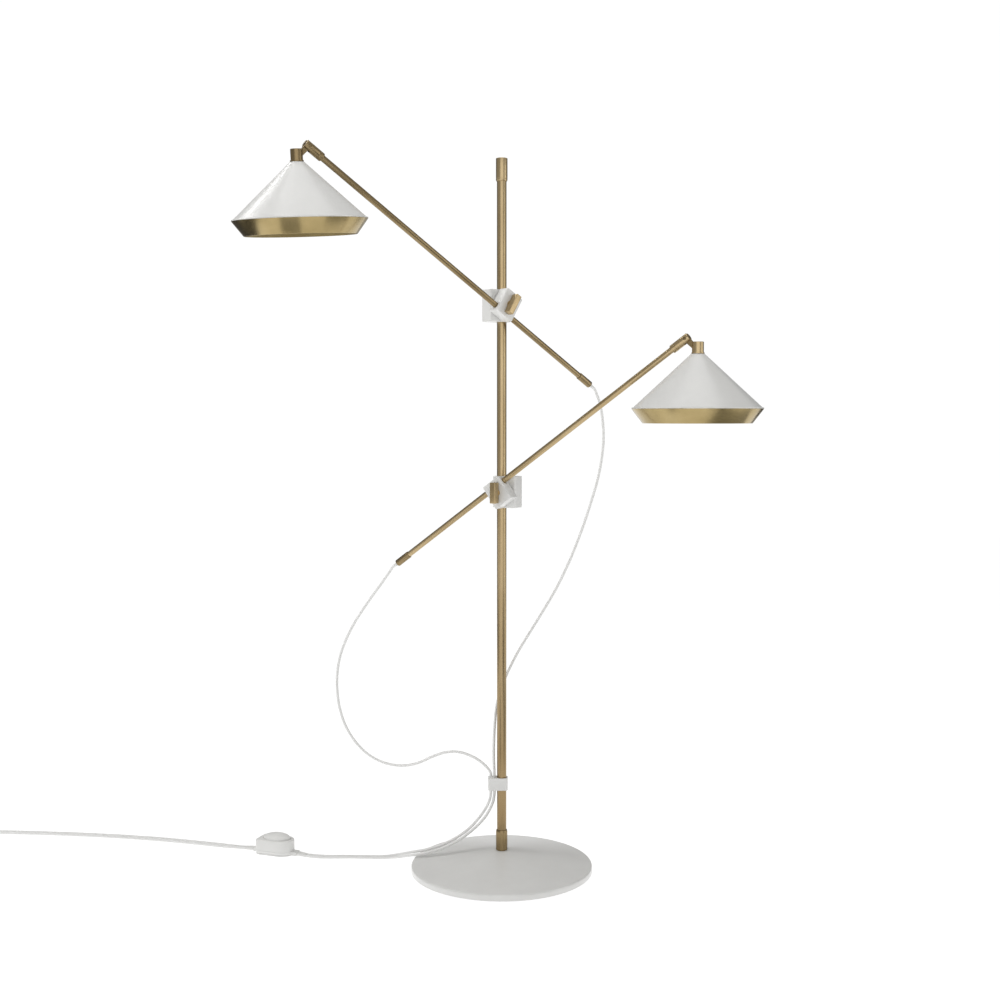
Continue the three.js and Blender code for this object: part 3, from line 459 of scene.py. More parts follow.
def lathe(profile, sides=96, radius=0.4, closed=None):
    """A profile of (radius, height) turned about Z. It closes on itself unless it starts on the axis."""
    if closed is None:
        closed = profile[0][0] > 0
    points = eased(profile, radius, closed)
    bm = bmesh.new()
    turns = [2 * math.pi * i / sides for i in range(sides)]
    rings = []
    for r, z in points:
        if r < 1e-6:
            rings.append([bm.verts.new((0, 0, z))] * sides)
        else:
            rings.append([bm.verts.new((r * math.cos(a), r * math.sin(a), z)) for a in turns])
    pairs = list(zip(rings, rings[1:] + rings[:1])) if closed else list(zip(rings, rings[1:]))
    for low, high in pairs:
        for i in range(sides):
            j = (i + 1) % sides
            corners = list(dict.fromkeys((low[i], low[j], high[j], high[i])))
            if len(corners) > 2:
                bm.faces.new(corners)
    return bm


def rod(r, z0, z1, sides=48):
    return lathe([(0, z0), (r, z0), (r, z1), (0, z1)], sides, 0)


def bore(r, z0, z1, sides=64, mouth=0.8):
    """A cutting tool for a hole from z0 to z1 whose two mouths are chamfered."""
    wide = r + mouth + 1
    outline = [(0, z0 - 1), (wide, z0 - 1), (r, z0 + mouth), (r, z1 - mouth), (wide, z1 + 1), (0, z1 + 1)]
    return lathe(outline, sides, 0)


def upright(matrix):
    """The same place and Z axis, with no turn about Z: for round pieces."""
    axis = matrix.to_3x3() @ UP
    return Matrix.Translation(matrix.translation) @ UP.rotation_difference(axis).to_matrix().to_4x4()


def turned_to(bm, matrix):
    bmesh.ops.transform(bm, matrix=matrix, verts=bm.verts)
    return bm


def moved(bm, x=0.0, y=0.0, z=0.0):
    return turned_to(bm, Matrix.Translation((x, y, z)))


def cross_rod(r, y0, y1, sides=32, x=0.0, z=0.0):
    """A rod along Y, through (x, z)."""
    return moved(turned_to(rod(r, y0, y1, sides), ALONG_BACK), x=x, z=z)


def loft(loops, closed=False):
    """A body through loops of the same number of points, capped, or closed on its first loop."""
    bm = bmesh.new()
    rings = [[bm.verts.new(p) for p in loop] for loop in loops]
    for low, high in zip(rings, rings[1:] + (rings[:1] if closed else [])):
        for i in range(len(low)):
            j = (i + 1) % len(low)
            bm.faces.new((low[i], low[j], high[j], high[i]))
    if not closed:
        bm.faces.new(rings[0][::-1])
        bm.faces.new(rings[-1])
    return bm


def rounded_plan(x0, y0, x1, y1, r, steps=8):
    """A rounded rectangle as a function of how far it is inset."""

    def plan(inset):
        inner = max(r - inset, 0.05)
        middles = ((x1 - r, y0 + r, -90), (x1 - r, y1 - r, 0), (x0 + r, y1 - r, 90), (x0 + r, y0 + r, 180))
        points = []
        for cx, cy, start in middles:
            sx = (r - inset - inner) * (1 if cx > (x0 + x1) / 2 else -1)
            sy = (r - inset - inner) * (1 if cy > (y0 + y1) / 2 else -1)
            for i in range(steps + 1):
                a = math.radians(start + 90 * i / steps)
                points.append((cx + sx + inner * math.cos(a), cy + sy + inner * math.sin(a)))
        return points

    return plan


def stacked(plan, levels):
    """A body through (height, inset) levels of a plan."""
    return loft([[(x, y, z) for x, y in plan(inset)] for z, inset in levels])


def soft_slab(plan, z0, z1, edge):
    """A body of that plan whose top and bottom edges are rounded."""
    angles = [math.radians(a) for a in (0, 30, 60, 90)]
    curve = [(edge * (1 - math.sin(a)), edge * (1 - math.cos(a))) for a in angles]
    low = [(z0 + rise, inset) for inset, rise in curve]
    high = [(z1 - rise, inset) for inset, rise in reversed(curve)]
    return stacked(plan, low + high)


def prism(outline, half, edge=0.5):
    """An outline in the XZ plane, made thick along Y, with its edges rounded."""
    bm = bmesh.new()
    front = [bm.verts.new((x, -half, z)) for x, z in outline]
    back = [bm.verts.new((x, half, z)) for x, z in outline]
    bm.faces.new(front)
    bm.faces.new(back[::-1])
    for i in range(len(outline)):
        j = (i + 1) % len(outline)
        bm.faces.new((front[i], back[i], back[j], front[j]))
    if edge:
        rims = [e for e in bm.edges if abs(e.verts[0].co.y - e.verts[1].co.y) < 1e-6]
        bmesh.ops.bevel(bm, geom=rims, offset=edge, segments=3, profile=0.5, affect="EDGES")
    return bm


# ---- cords ----


def smooth_line(points, step):
    """A centripetal Catmull-Rom curve through the points, in millimetres, sampled about a step apart."""
    knots = [Vector(p) for p in points]
    knots = [2 * knots[0] - knots[1], *knots, 2 * knots[-1] - knots[-2]]
    line = []
    for p0, p1, p2, p3 in zip(knots, knots[1:], knots[2:], knots[3:]):
        t1 = math.sqrt((p1 - p0).length)
        t2 = t1 + math.sqrt((p2 - p1).length)
        t3 = t2 + math.sqrt((p3 - p2).length)
        count = max(1, round((p2 - p1).length / step))
        for i in range(count):
            t = t1 + (t2 - t1) * i / count
            a1 = p0.lerp(p1, t / t1)
            a2 = p1.lerp(p2, (t - t1) / (t2 - t1))
            a3 = p2.lerp(p3, (t - t2) / (t3 - t2))
            b1 = a1.lerp(a2, t / t2)
            b2 = a2.lerp(a3, (t - t1) / (t3 - t1))
            line.append(b1.lerp(b2, (t - t1) / (t2 - t1)))
    return [*line, knots[-2]]


def length_of(line):
    return sum((b - a).length for a, b in zip(line, line[1:]))


def cord_mesh(name, line, start_at):
    """A tube along the line with UVs that count round it and along it, in metres."""
    bm = bmesh.new()
    uv_layer = bm.loops.layers.uv.new("braid")
    rings, travelled = [], start_at
    side = None
    for i, point in enumerate(line):
        onward = (line[min(i + 1, len(line) - 1)] - line[max(i - 1, 0)]).normalized()
        if side is None:
            side = onward.cross(UP if abs(onward.z) < 0.9 else Vector((1, 0, 0)))
        side = (side - onward * side.dot(onward)).normalized()
        up = onward.cross(side)
        if i:
            travelled += (point - line[i - 1]).length * MM
        turns = [2 * math.pi * k / CORD_SIDES for k in range(CORD_SIDES)]
        ring = [bm.verts.new(point + CORD_R * (side * math.cos(a) + up * math.sin(a))) for a in turns]
        rings.append((ring, travelled))
    for (low, v0), (high, v1) in zip(rings, rings[1:]):
        for i in range(CORD_SIDES):
            j = (i + 1) % CORD_SIDES
            face = bm.faces.new((low[i], low[j], high[j], high[i]))
            for loop, uv in zip(face.loops, ((i, v0), (i + 1, v0), (i + 1, v1), (i, v1))):
                loop[uv_layer].uv = (uv[0] / CORD_SIDES, uv[1])
    bm.faces.new(rings[0][0][::-1])
    bm.faces.new(rings[-1][0])
    return named_mesh(name, bm, "cord", 50)


def cord_piece(name, line, node=(), bodies=("stand",), start_at=0.0):
    """One stretch of cord. With two bodies it rides on neither, its place baked into its mesh."""
    obj = placed(name, cord_mesh(name, line, start_at))
    if len(bodies) > 1:
        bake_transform(obj)
    else:
        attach(obj, bodies[0])
    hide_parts(*node)
    return obj


def gland_tip(name, past):
    """Where the cord leaves an arm's gland, or a point straight past it, in millimetres."""
    out = AT[name]["arm"] @ Vector(((-ARM_L - GLAND_OUT - past) * MM, 0, 0))
    return out / MM


def switch_entry(end, lane):
    """Where a cord meets the foot switch: end is 1 away from the pole, lane 1 is the rear cord."""
    turn = Matrix.Rotation(math.radians(SWITCH_TURN), 3, "Z")
    place = turn @ Vector((end * (SWITCH_L / 2 + COLLAR_OUT - 2), -lane * (CORD_R + 1), 0))
    return place + Vector((*SWITCH_AT, SWITCH_CORD_Z))


def clip_run(x):
    """Straight through the cable clip."""
    return [(x, 0, z) for z in (CLIP_TOP + 9, CLIP_TOP + 1.5, CLIP_Z + 13, CLIP_Z - 1, CLIP_Z - 12)]


UPPER_ROUTE = [
    gland_tip("upper", -4),
    gland_tip("upper", 0.5),
    gland_tip("upper", 6),
    (207.5, 121.8, 1015), (214.5, 126.5, 996), (220.5, 130, 965), (223.5, 131, 920),
    (219.5, 128.5, 875), (210, 122, 828), (197, 114.5, 785), (182, 106, 740),
    (163, 96, 690), (141, 84.5, 640), (115, 72, 590), (84, 58, 540),
    (58, 46, 500), (33, 36, 460), (12.5, 27.5, 420), (-2, 21, 385),
    (-11, 15.5, 350), (-14.8, 11, 315), (-16.6, 7, 280), (-17, 3.5, 245),
    (-16.3, 0.8, 221),
    *clip_run(CORD_INNER_X),
    (-19, 0.8, 146), (-36, 3.5, 113), (-74, 10, 74), (-122, 16, 44),
    (-165, 23, 28.5), (-197, 35, 19.5), (-228, 52, 9.5), (-258, 63, 4.2),
    (-293, 68, LIE), (-328, 70, LIE), (-365, 70, LIE), (-403, 71, LIE),
    (-430, 80.3, 3.4),
    switch_entry(-1, -1),
]
LOWER_ROUTE = [
    gland_tip("lower", -4),
    gland_tip("lower", 0.5),
    gland_tip("lower", 6),
    (-247, 104, 625), (-262, 109, 604), (-283, 114, 575), (-306, 119.5, 542),
    (-328, 123.5, 507), (-346, 126, 470), (-358, 126, 435), (-363.5, 123.5, 400),
    (-363.5, 119, 365), (-358, 112.5, 328), (-345, 104, 290), (-322, 94, 255),
    (-291, 82.5, 228), (-255, 71, 213), (-217, 59.5, 210), (-183, 49, 218),
    (-150, 38.5, 235), (-121, 28.5, 247), (-92, 18.5, 250.5), (-64, 10, 243.5),
    (-43, 4, 232), (-29, 0.8, 219),
    *clip_run(CORD_OUTER_X),
    (-27, 1.5, 148), (-39.5, 6.5, 123), (-75, 17.5, 80), (-122, 24, 49.5),
    (-164, 31.5, 33.5), (-194, 44, 24), (-224, 61, 13), (-256, 72, 5),
    (-293, 76.5, LIE), (-345, 78, LIE), (-390, 78.8, LIE), (-427, 87.8, 3.4),
    switch_entry(-1, 1),
]
UPPER_TAIL = [
    switch_entry(1, -1),
    (-588, 135.5, 3.4), (-630, 146.5, LIE), (-672, 159, LIE), (-715, 172, LIE),
    (-765, 185.5, LIE), (-820, 198.5, LIE), (-880, 210.5, LIE), (-945, 221, LIE),
    (-1010, 229.5, LIE), (-1080, 236.5, LIE), (-1140, 241, LIE),
    (-1180, FRONT_CORD_Y, LIE),
]
LOWER_TAIL = [
    switch_entry(1, 1),
    (-585, 143.5, 3.4), (-627, 157, LIE), (-670, 170.5, LIE), (-715, 184, LIE),
    (-765, 197.5, LIE), (-820, 210, LIE), (-880, 221.5, LIE), (-945, 231.5, LIE),
    (-1010, 239.5, LIE), (-1080, 246.5, LIE), (-1140, 251, LIE),
    (-1180, REAR_CORD_Y, LIE),
]
# Where each hanging stretch ends, by height, and the two bodies named for it
SPLITS = {"upper": (900, 740, 560, CLIP_TOP + 0.5), "lower": (540, 385, 262, CLIP_TOP + 0.5)}
CHAIN = ("arm", "holder", "clamp", "slider", "stand")


def eased_step(t, start, end):
    s = min(1.0, max(0.0, (t - start) / (end - start)))
    return s * s * (3 - 2 * s)


def coil_points(y, turn, turns):
    """Turns of spare cord: out on the floor, in, up, out again, and the last part over the top."""
    middle = Vector((COIL_X, y + turn * COIL_TURN_R, 0))
    start = -90 * turn
    layer = 2 * CORD_R + 0.2
    points = []
    count = round(turns * 28)
    for i in range(count + 1):
        t = turns * i / count
        r = COIL_TURN_R - COIL_STEP * (eased_step(t, 0.72, 1.0) - eased_step(t, 2.5, 2.75))
        z = LIE + layer * (eased_step(t, 1.6, 1.85) + 0.97 * eased_step(t, 3.4, 3.65))
        a = math.radians(start - turn * 360 * t)
        points.append(middle + Vector((r * math.cos(a), r * math.sin(a), z)))
    return points


def add_cord(name, lane, relief):
    """One lamp's whole cord: four hanging stretches, the lead to the switch, and the rest."""
    line = smooth_line(lane["route"], CORD_STEP)
    start_at = 0.0
    for i, low in enumerate(SPLITS[name]):
        stop = next(k for k, p in enumerate(line) if p.z < low and k > 0)
        part, line = line[: stop + 1], line[stop:]
        bodies = [body if body == "stand" else f"{name}_{body}" for body in CHAIN[i : i + 2]]
        own, pieces = f"{name}_cord_{'abcd'[i]}", [relief] if i == 0 else []
        cord_piece(own, part, [f"{name}_hang"], bodies, start_at)
        start_at += length_of(part) * MM
    own, node = f"{name}_cord_to_switch", [f"{name}_lead"]
    cord_piece(own, line, node, start_at=start_at)
    coil = coil_points(lane["coil_y"], lane["turn"], lane["turns"])
    heading = math.radians(lane["heading"])
    onward = Vector((math.cos(heading), math.sin(heading), 0))
    tip = Vector(lane["plug_tip"])
    spare = smooth_line([*lane["tail"], *coil, tip - onward * 7, tip, tip + onward * 5], CORD_STEP)
    nodes = [f"{name}_tail", f"{name}_coil"]
    cord_piece(f"{name}_cord_spare", spare, nodes)


# ---- the foot ----
STAND = Matrix.Identity(4)

# Outlines of (radius, height, own rounding)
FOOT_OUTLINE = [
    (5.3, 44, 0.2), (15, 44, 5), (191.2, 15, 2.4), (193, 12.2, 1.6), (193, 1.8, 0.5),
    (191, 1.8, 0.3), (191, 11.6, 1), (189.6, 13.1, 1), (15, 42, 2), (5.3, 42, 0.2),
]
FELT_OUTLINE = [(0, 0), (186.4, 0, 0.6), (186.9, 1.5, 0.5), (0, 1.5)]
FERRULE_OUTLINE = [
    (5.3, 44.3, 0.2), (11.6, 44.3, 0.3), (12.25, 45.2, 0.4), (12.25, 84.6, 0.5),
    (11.2, 88, 0.5), (10.3, 88, 0.2), (10.3, POLE_FOOT, 0.1), (5.3, POLE_FOOT, 0.1),
]
# The same, with heights counted down from the lamp's top
POLE_CAP_OUTLINE = [
    (0, 6.7), (10.3, 6.7, 0.1), (10.3, 47, 0.1), (11.0, 47, 0.2), (12, 44.5, 0.8), (12, 42.6, 0.1),
    (11.7, 42.3, 0.1), (11.7, 41.7, 0.1), (12, 41.4, 0.1), (12, 0, 1.2), (0, 0),
]


def add_foot():
    piece("foot_shell", lathe(FOOT_OUTLINE, 224), "paint", STAND, "stand", "foot_cover", smooth_to=40)
    piece("foot_felt", lathe(FELT_OUTLINE, 160), "rubber", STAND, "stand", "foot_pad")
    ferrule = lathe(FERRULE_OUTLINE, 96)
    grub = moved(turned_to(bore(1.6, 9, 14, 24, 0.3), ALONG_BACK), z=GRUB_Z)
    # Deep brass on the ferrule: painted shade.
    look = "brass_long_deep"
    piece("foot_ferrule_sleeve", ferrule, look, STAND, "stand", "foot_ferrule", tools=cut(grub))


def add_pole():
    inner, end = POLE_R - POLE_WALL, LAMP_H - 7
    tube = [(inner, POLE_FOOT), (POLE_R, POLE_FOOT), (POLE_R, end), (inner, end)]
    piece("pole", lathe(tube, 96, 0.3), "brass_pole", STAND, "stand", "pole_tube")
    cap = [(r, LAMP_H - down, *own) for r, down, *own in POLE_CAP_OUTLINE]
    piece("pole_top_cap", lathe(cap, 96, closed=False), "brass_long", STAND, "stand", "pole_cap")


def slotted_screw(r, length, head_r, slot):
    """A cheese-head screw along Z, its head up, with a slot."""
    low = -1.4
    outline = [(0, -length), (r, -length, 0.3), (r, low, 0.1), (head_r, low, 0.2), (head_r, 0, 0.4), (0, 0)]
    tool = soft_slab(rounded_plan(-head_r - 1, -slot / 2, head_r + 1, slot / 2, 0.05, 2), -0.8, 1, 0.02)
    return lathe(outline, 40), cut(tool)


def add_clip():
    left = CORD_OUTER_X - CORD_R - GAP - CLIP_WALL
    half = CLIP_DEPTH / 2
    middle_z = CLIP_Z + CLIP_H / 2
    plan = rounded_plan(left, -half, CLIP_RIGHT, half, 5, 8)
    tools = [bore(POLE_R + GAP, CLIP_Z, CLIP_TOP, 64, 0.6)]
    for x in (CORD_INNER_X, CORD_OUTER_X):
        tools.append(moved(bore(CORD_R + 0.25, CLIP_Z, CLIP_TOP, 32, 0.5), x))
    tools.append(cross_rod(2.9, 8, half + 2, z=middle_z))
    body = soft_slab(plan, CLIP_Z, CLIP_TOP, 1.4)
    piece("cord_clip", body, "plastic", STAND, "stand", "cable_clip", tools=cut(*tools))
    screw, slot = slotted_screw(1.5, 3.2, 2.6, 0.8)
    at = shifted(0, half - 0.3, middle_z) @ ALONG_BACK
    piece("cord_clip_screw", screw, "steel", at, "stand", "clip_screw", tools=slot)


# ---- one arm ----


def add_clamp(name, arm, at):
    mid = arm["side"] * BOLT_OFFSET
    deep, high = BLOCK_D / 2, BLOCK_H / 2
    plan = rounded_plan(mid - BLOCK_W / 2, -deep, mid + BLOCK_W / 2, deep, 4, 10)
    block = soft_slab(plan, -high, high, 1.1)
    inner, outer = POLE_R + GAP, POLE_R + GAP + BUSH_WALL
    hole = bore(outer + GAP, -high, high, 72, 0.7)
    thread = cross_rod(PIVOT_R + GAP, -deep - 1, -deep + THREAD_DEPTH, x=mid)
    tools = cut(hole, thread)
    arm_piece(name, "clamp_block", block, "paint", at["clamp"], "clamp", "pole_block", tools=tools)
    bush = lathe([(inner, -high + 1), (outer, -high + 1), (outer, high - 1), (inner, high - 1)], 72)
    arm_piece(name, "pole_guide", bush, "nylon", at["clamp"], "slider", "pole_bush")
    z0 = -deep - GAP - WASHER_T
    z1 = z0 + WASHER_T
    washer = lathe([(PIVOT_R + GAP, z0), (WASHER_R, z0), (WASHER_R, z1), (PIVOT_R + GAP, z1)], 64, 0.2)
    arm_piece(name, "washer", washer, "fibre", at["bolt"] @ ALONG_BACK, "clamp", "friction_washer")


def add_holder(name, at):
    long, deep, high = ARM_BLOCK_L / 2, ARM_BLOCK_D / 2, ARM_BLOCK_H / 2
    body = turned_to(soft_slab(rounded_plan(-long, -high, long, high, 2, 8), -deep, deep, 1.1), LYING)
    inner, outer = ARM_R + GAP, ARM_R + GAP + GUIDE_WALL
    hole = moved(turned_to(bore(outer + GAP, -long, long, 64, 0.5), ALONG_X), z=ARM_OFFSET)
    bolt_hole = cross_rod(PIVOT_R + GAP, -deep - 2, deep + 2)
    tools = cut(hole, bolt_hole)
    arm_piece(name, "arm_holder", body, "paint", at["holder"], "holder", "arm_block", tools=tools)
    end = long - 0.5
    guide = lathe([(inner, -end), (outer, -end), (outer, end), (inner, end)], 64)
    arm_piece(name, "arm_guide", guide, "nylon", at["line"] @ ALONG_X, "holder", "arm_bush")


def add_knob(name, at):
    back = KNOB_FACE + 1.5
    plan = rounded_plan(-KNOB_W / 2, -KNOB_L / 2, KNOB_W / 2, KNOB_L / 2, 1.2, 6)
    bar = soft_slab(plan, back, back + KNOB_D, 0.9)
    boss = lathe([(0, KNOB_FACE), (8, KNOB_FACE, 0.4), (8, back + 1), (0, back + 1)], 56)
    hole = rod(PIVOT_R + GAP, KNOB_FACE - 1, back + KNOB_D - KNOB_SKIN, 32)
    tools = [("UNION", boss), ("DIFFERENCE", hole)]
    arm_piece(name, "knob_bar", bar, "brass_flat", at["knob"] @ LYING, "knob", "clamp_knob", tools=tools)


def tail_outline(inner):
    """The end cap of an arm, with a groove round it, as (radius, place along the arm, rounding)."""
    end, stop = -ARM_L + TAIL_L, -ARM_L + TAIL_STOP - GAP
    groove_r = TAIL_R - 0.4
    return [
        (ARM_R + GAP, stop, 0.1), (ARM_R + GAP, end, 0.1), (TAIL_R - 0.5, end, 0.2),
        (TAIL_R, end - 0.8, 0.3), (TAIL_R, end - 3.2, 0.1), (groove_r, end - 3.5, 0.1),
        (groove_r, end - 4.3, 0.1), (TAIL_R, end - 4.6, 0.1), (TAIL_R, -ARM_L, 1.0),
        (inner, -ARM_L, 0.3), (inner, stop, 0.1),
    ]


def gland_outline(outer):
    """The cord's way out of an arm: a sleeve inside it, then three ribs that get smaller."""
    start, end = -ARM_L + GLAND_IN, -ARM_L - GLAND_OUT
    outline = [(CORD_R + 0.1, start), (outer, start), (outer, -ARM_L + 0.5, 0.3)]
    for i in range(3):
        z = -ARM_L - 1.6 - 2.8 * i
        r = 4.1 - 0.18 * i
        outline += [(r, z + 0.9, 0.2), (r, z, 0.2), (r - 0.45, z - 0.3, 0.1), (r - 0.45, z - 1.4, 0.1)]
    return [*outline, (CORD_R + 0.45, end, 0.2), (CORD_R + 0.1, end, 0.1)]


def add_rod(name, at):
    """The arm's tube and what is on its ends. Gives back the cord's strain relief."""
    # On the upper arm the rod and collar take deep brass: painted shade.
    along, tone = at["arm"] @ ALONG_X, BRASS_TONE[name]
    inner = ARM_R - ARM_WALL
    z0, z1 = -ARM_L + TAIL_STOP, -FORK_L - 2 * GAP
    tube = lathe([(inner, z0), (ARM_R, z0), (ARM_R, z1), (inner, z1)], 72, 0.3)
    arm_piece(name, "rod", tube, f"brass_long{tone}", along, "arm", "arm_tube")
    tail = lathe(tail_outline(inner), 72)
    # Deep brass on the tail cap: painted shade.
    arm_piece(name, "tail_cap", tail, "brass_long_deep", along, "arm", "tail_ferrule")
    gland = lathe(gland_outline(inner - GAP), 56, 0.2)
    relief = arm_piece(name, "strain_relief", gland, "plastic", along, "arm", "cord_gland")
    start, end = -(FORK_L + COLLAR_L + GAP), -FORK_L - GAP
    collar = [
        (ARM_R + GAP, start, 0.2), (SWIVEL_R - 0.9, start, 0.3), (SWIVEL_R, start + 1.1, 0.5),
        (SWIVEL_R, end, 0.35), (ARM_R + GAP, end, 0.1),
    ]
    arm_piece(name, "collar", lathe(collar, 80), f"brass_round{tone}", along, "arm", "swivel_collar")
    return relief


def add_fork(name, at):
    spigot, spigot_end = ARM_R - ARM_WALL - GAP, -FORK_L - FORK_SPIGOT_L
    profile = [
        (0, spigot_end), (spigot, spigot_end, 0.5), (spigot, -FORK_L, 0.1),
        (SWIVEL_R, -FORK_L, 0.35), (SWIVEL_R, 0, 1.3), (0, 0),
    ]
    half = LINK_T / 2 + GAP
    tools = [soft_slab(rounded_plan(-SLOT_DEPTH, -half, 6, half, 0.4, 3), -20, 20, 0.1)]
    # The screw's hole, and a seat for each of its heads
    for sizes in ((TILT_R + 0.15, -20, 20), (3.2, 5.8, 20, 40), (3.2, -20, -5.8, 40)):
        tools.append(cross_rod(*sizes, x=-TILT_IN))
    tools = cut(*(turned_to(tool, ALONG_X.inverted()) for tool in tools))
    # On the upper arm the fork takes deep brass: painted shade.
    fork, look, along = lathe(profile, 80), f"brass_round{BRASS_TONE[name]}", at["swivel"] @ ALONG_X
    arm_piece(name, "fork", fork, look, along, "fork", "swivel_fork", tools=tools)
    end = SWIVEL_R - 0.7
    screw = [
        (0, -end), (2.9, -end, 0.5), (2.9, -6.0, 0.1), (TILT_R, -6.0, 0.1),
        (TILT_R, 6.0, 0.1), (2.9, 6.0, 0.1), (2.9, end, 0.5), (0, end),
    ]
    slot_plan = rounded_plan(-4, -0.35, 4, 0.35, 0.05, 2)
    tools = cut(*(soft_slab(slot_plan, z0, z0 + 2, 0.02) for z0 in (end - 0.8, -end - 1.2)))
    pin = lathe(screw, 40, 0.3, closed=False)
    across = at["pin"] @ ALONG_BACK
    # Deep brass on the tilt screw: painted shade.
    arm_piece(name, "tilt_pin", pin, "brass_round_deep", across, "fork", "tilt_screw", tools=tools)


def link_outline(half_w, end_x, eye_r=None):
    """The sloping bar from the tilt pin into the cap, in the XZ plane, with a round eye if given."""
    a = math.radians(-LINK_SLOPE)
    along = Vector((math.cos(a), math.sin(a)))
    aside = Vector((-along.y, along.x))

    def on_end(k):
        side = aside * (k * half_w)
        return side + along * ((end_x - side.x) / along.x)

    if eye_r is None:
        return [tuple(aside * half_w), tuple(-aside * half_w), tuple(on_end(-1)), tuple(on_end(1))]
    meet = math.asin(half_w / eye_r)
    steps = 28
    eye = []
    for i in range(steps + 1):
        b = a + meet + (2 * math.pi - 2 * meet) * i / steps
        eye.append((eye_r * math.cos(b), eye_r * math.sin(b)))
    return [*eye, tuple(on_end(-1)), tuple(on_end(1))]


def cap_outline(hole):
    h, bore_r = HEAD_CAP_HALF_H, HEAD_CAP_R - HEAD_CAP_WALL
    low = -h - FLANGE_T
    return [
        (0, h - 3), (bore_r, h - 3, 0.3), (bore_r, -h + 1.2, 0.2), (hole, -h + 1.2, 0.1),
        (hole, low, 0.1), (FLANGE_R, low, 0.3), (FLANGE_R, -h, 0.6),
        (HEAD_CAP_R, -h, 0.2), (HEAD_CAP_R, h, 1.0), (0, h),
    ]


def cone_outline(hole):
    """The shade's wall, with a small rolled lip at its lower edge."""
    slope = math.hypot(SHADE_R - SHADE_TOP_R, SHADE_H)
    thick_x = SHADE_T * slope / SHADE_H
    per_z = (SHADE_R - SHADE_TOP_R) / SHADE_H
    low, under = SHADE_Z - SHADE_H, SHADE_Z - SHADE_T
    return [
        (hole, SHADE_Z, 0.1), (SHADE_TOP_R + 0.2, SHADE_Z, 1.6),
        (SHADE_R - 0.6 - 2.4 * per_z, low + 2.4, 0.3), (SHADE_R, low + 1.7, 0.5),
        (SHADE_R, low, 0.4), (SHADE_R - thick_x, low, 0.35),
        (SHADE_TOP_R + SHADE_T * per_z - thick_x, under, 1.0), (hole, under, 0.1),
    ]


def ring_outline():
    thick_x = SHADE_T * math.hypot(RING_IN, RING_H) / RING_H
    low, low_r = RING_Z - RING_H, SHADE_R - RING_IN
    return [
        (SHADE_R, RING_Z, 0.35), (low_r, low, 0.5),
        (low_r - thick_x, low, 0.5), (SHADE_R - thick_x, RING_Z, 0.35),
    ]


def add_head(name, at):
    hung, hole = at["hung"], NIPPLE_R + GAP
    link_end = CAP_OUT - (HEAD_CAP_R - HEAD_CAP_WALL) - GAP
    half = LINK_T / 2
    eye = cut(cross_rod(TILT_R + 0.2, -half - 1, half + 1))
    link = prism(link_outline(LINK_HALF_W, link_end, LINK_EYE_R), half, 0.45)
    # Deep brass on the link: painted shade.
    arm_piece(name, "link", link, "brass_flat_deep", at["head"], "head", "tilt_link", tools=eye)
    slot = prism(link_outline(LINK_HALF_W + GAP, link_end + GAP), half + GAP, 0)
    slot = cut(moved(slot, x=-CAP_OUT, z=CAP_DOWN))
    # On the upper arm the cap takes deep brass: painted shade.
    cap, look = lathe(cap_outline(hole), 88, closed=False), f"brass_long{BRASS_TONE[name]}"
    arm_piece(name, "shade_top", cap, look, hung, "head", "shade_cap", tools=slot)
    cone = lathe(cone_outline(hole), 256)
    arm_piece(name, "cone", cone, "paint", upright(hung), "head", "shade", smooth_to=25)
    rim = lathe(ring_outline(), 256)
    arm_piece(name, "rim", rim, "brass_rim", upright(hung), "head", "shade_ring", smooth_to=25)
    add_lamp(name, hung)


def add_lamp(name, hung):
    """The lampholder, ribbed round, and the bulb in it."""
    low, stud = HOLDER_Z - HOLDER_H, -HEAD_CAP_HALF_H + 6
    mouth = low + HOLDER_MOUTH_H
    holder = [(0, mouth), (HOLDER_MOUTH_R, mouth, 0.2), (HOLDER_MOUTH_R, low, 0.5)]
    for i in range(7):
        z = low + 0.1 + 4.4 * i
        holder += [(HOLDER_R, z, 0.5), (HOLDER_R, z + 3.4, 0.4), (HOLDER_R - 0.7, z + 3.9, 0.2)]
    holder += [(HOLDER_R, HOLDER_Z - 14, 0.4), (HOLDER_R, HOLDER_Z - 10, 1.2)]
    holder += [(HOLDER_NECK_R, HOLDER_Z - 6, 1.2), (HOLDER_NECK_R, HOLDER_Z, 0.6)]
    holder += [(NIPPLE_R, HOLDER_Z, 0.1), (NIPPLE_R, stud, 0.4), (0, stud)]
    socket = lathe(holder, 72, closed=False)
    arm_piece(name, "socket", socket, "black", hung, "head", "lampholder")
    top = mouth - GAP
    mid = top - BULB_L + BULB_R
    glass = [(0, top), (BULB_CAP_R, top, 0.5), (BULB_CAP_R, top - HOLDER_MOUTH_H + 1, 1.5)]
    glass.append((BULB_CAP_R + 1.8, top - HOLDER_MOUTH_H - 7, 4))
    for degrees in range(48, -88, -8):
        a = math.radians(degrees)
        glass.append((BULB_R * math.cos(a), mid + BULB_R * math.sin(a), 2))
    glass.append((0, mid - BULB_R))
    bulb = lathe(glass, 80, closed=False)
    arm_piece(name, "lamp", bulb, "opal", hung, "head", "bulb", smooth_to=60)


# ---- foot switch and plugs ----


def switch_plan(inset):
    """The housing's outline: square with round corners at one end, a half circle at the other."""
    w, l = SWITCH_W / 2 - inset, SWITCH_L / 2 - inset
    r = max(10 - inset, 1)
    steps = 20
    points = []
    for cx, cy, radius, start, sweep in (
        (l - r, -w + r, r, -90, 90),
        (l - r, w - r, r, 0, 90),
        (-l + w, 0, w, 90, 180),
    ):
        for i in range(steps + 1):
            a = math.radians(start + sweep * i / steps)
            points.append((cx + radius * math.cos(a), cy + radius * math.sin(a)))
    return points


def oblong(bm):
    """A round pedal shape, stretched along the switch."""
    bmesh.ops.scale(bm, vec=(PEDAL_STRETCH, 1, 1), verts=bm.verts)
    return moved(bm, PEDAL_AT)


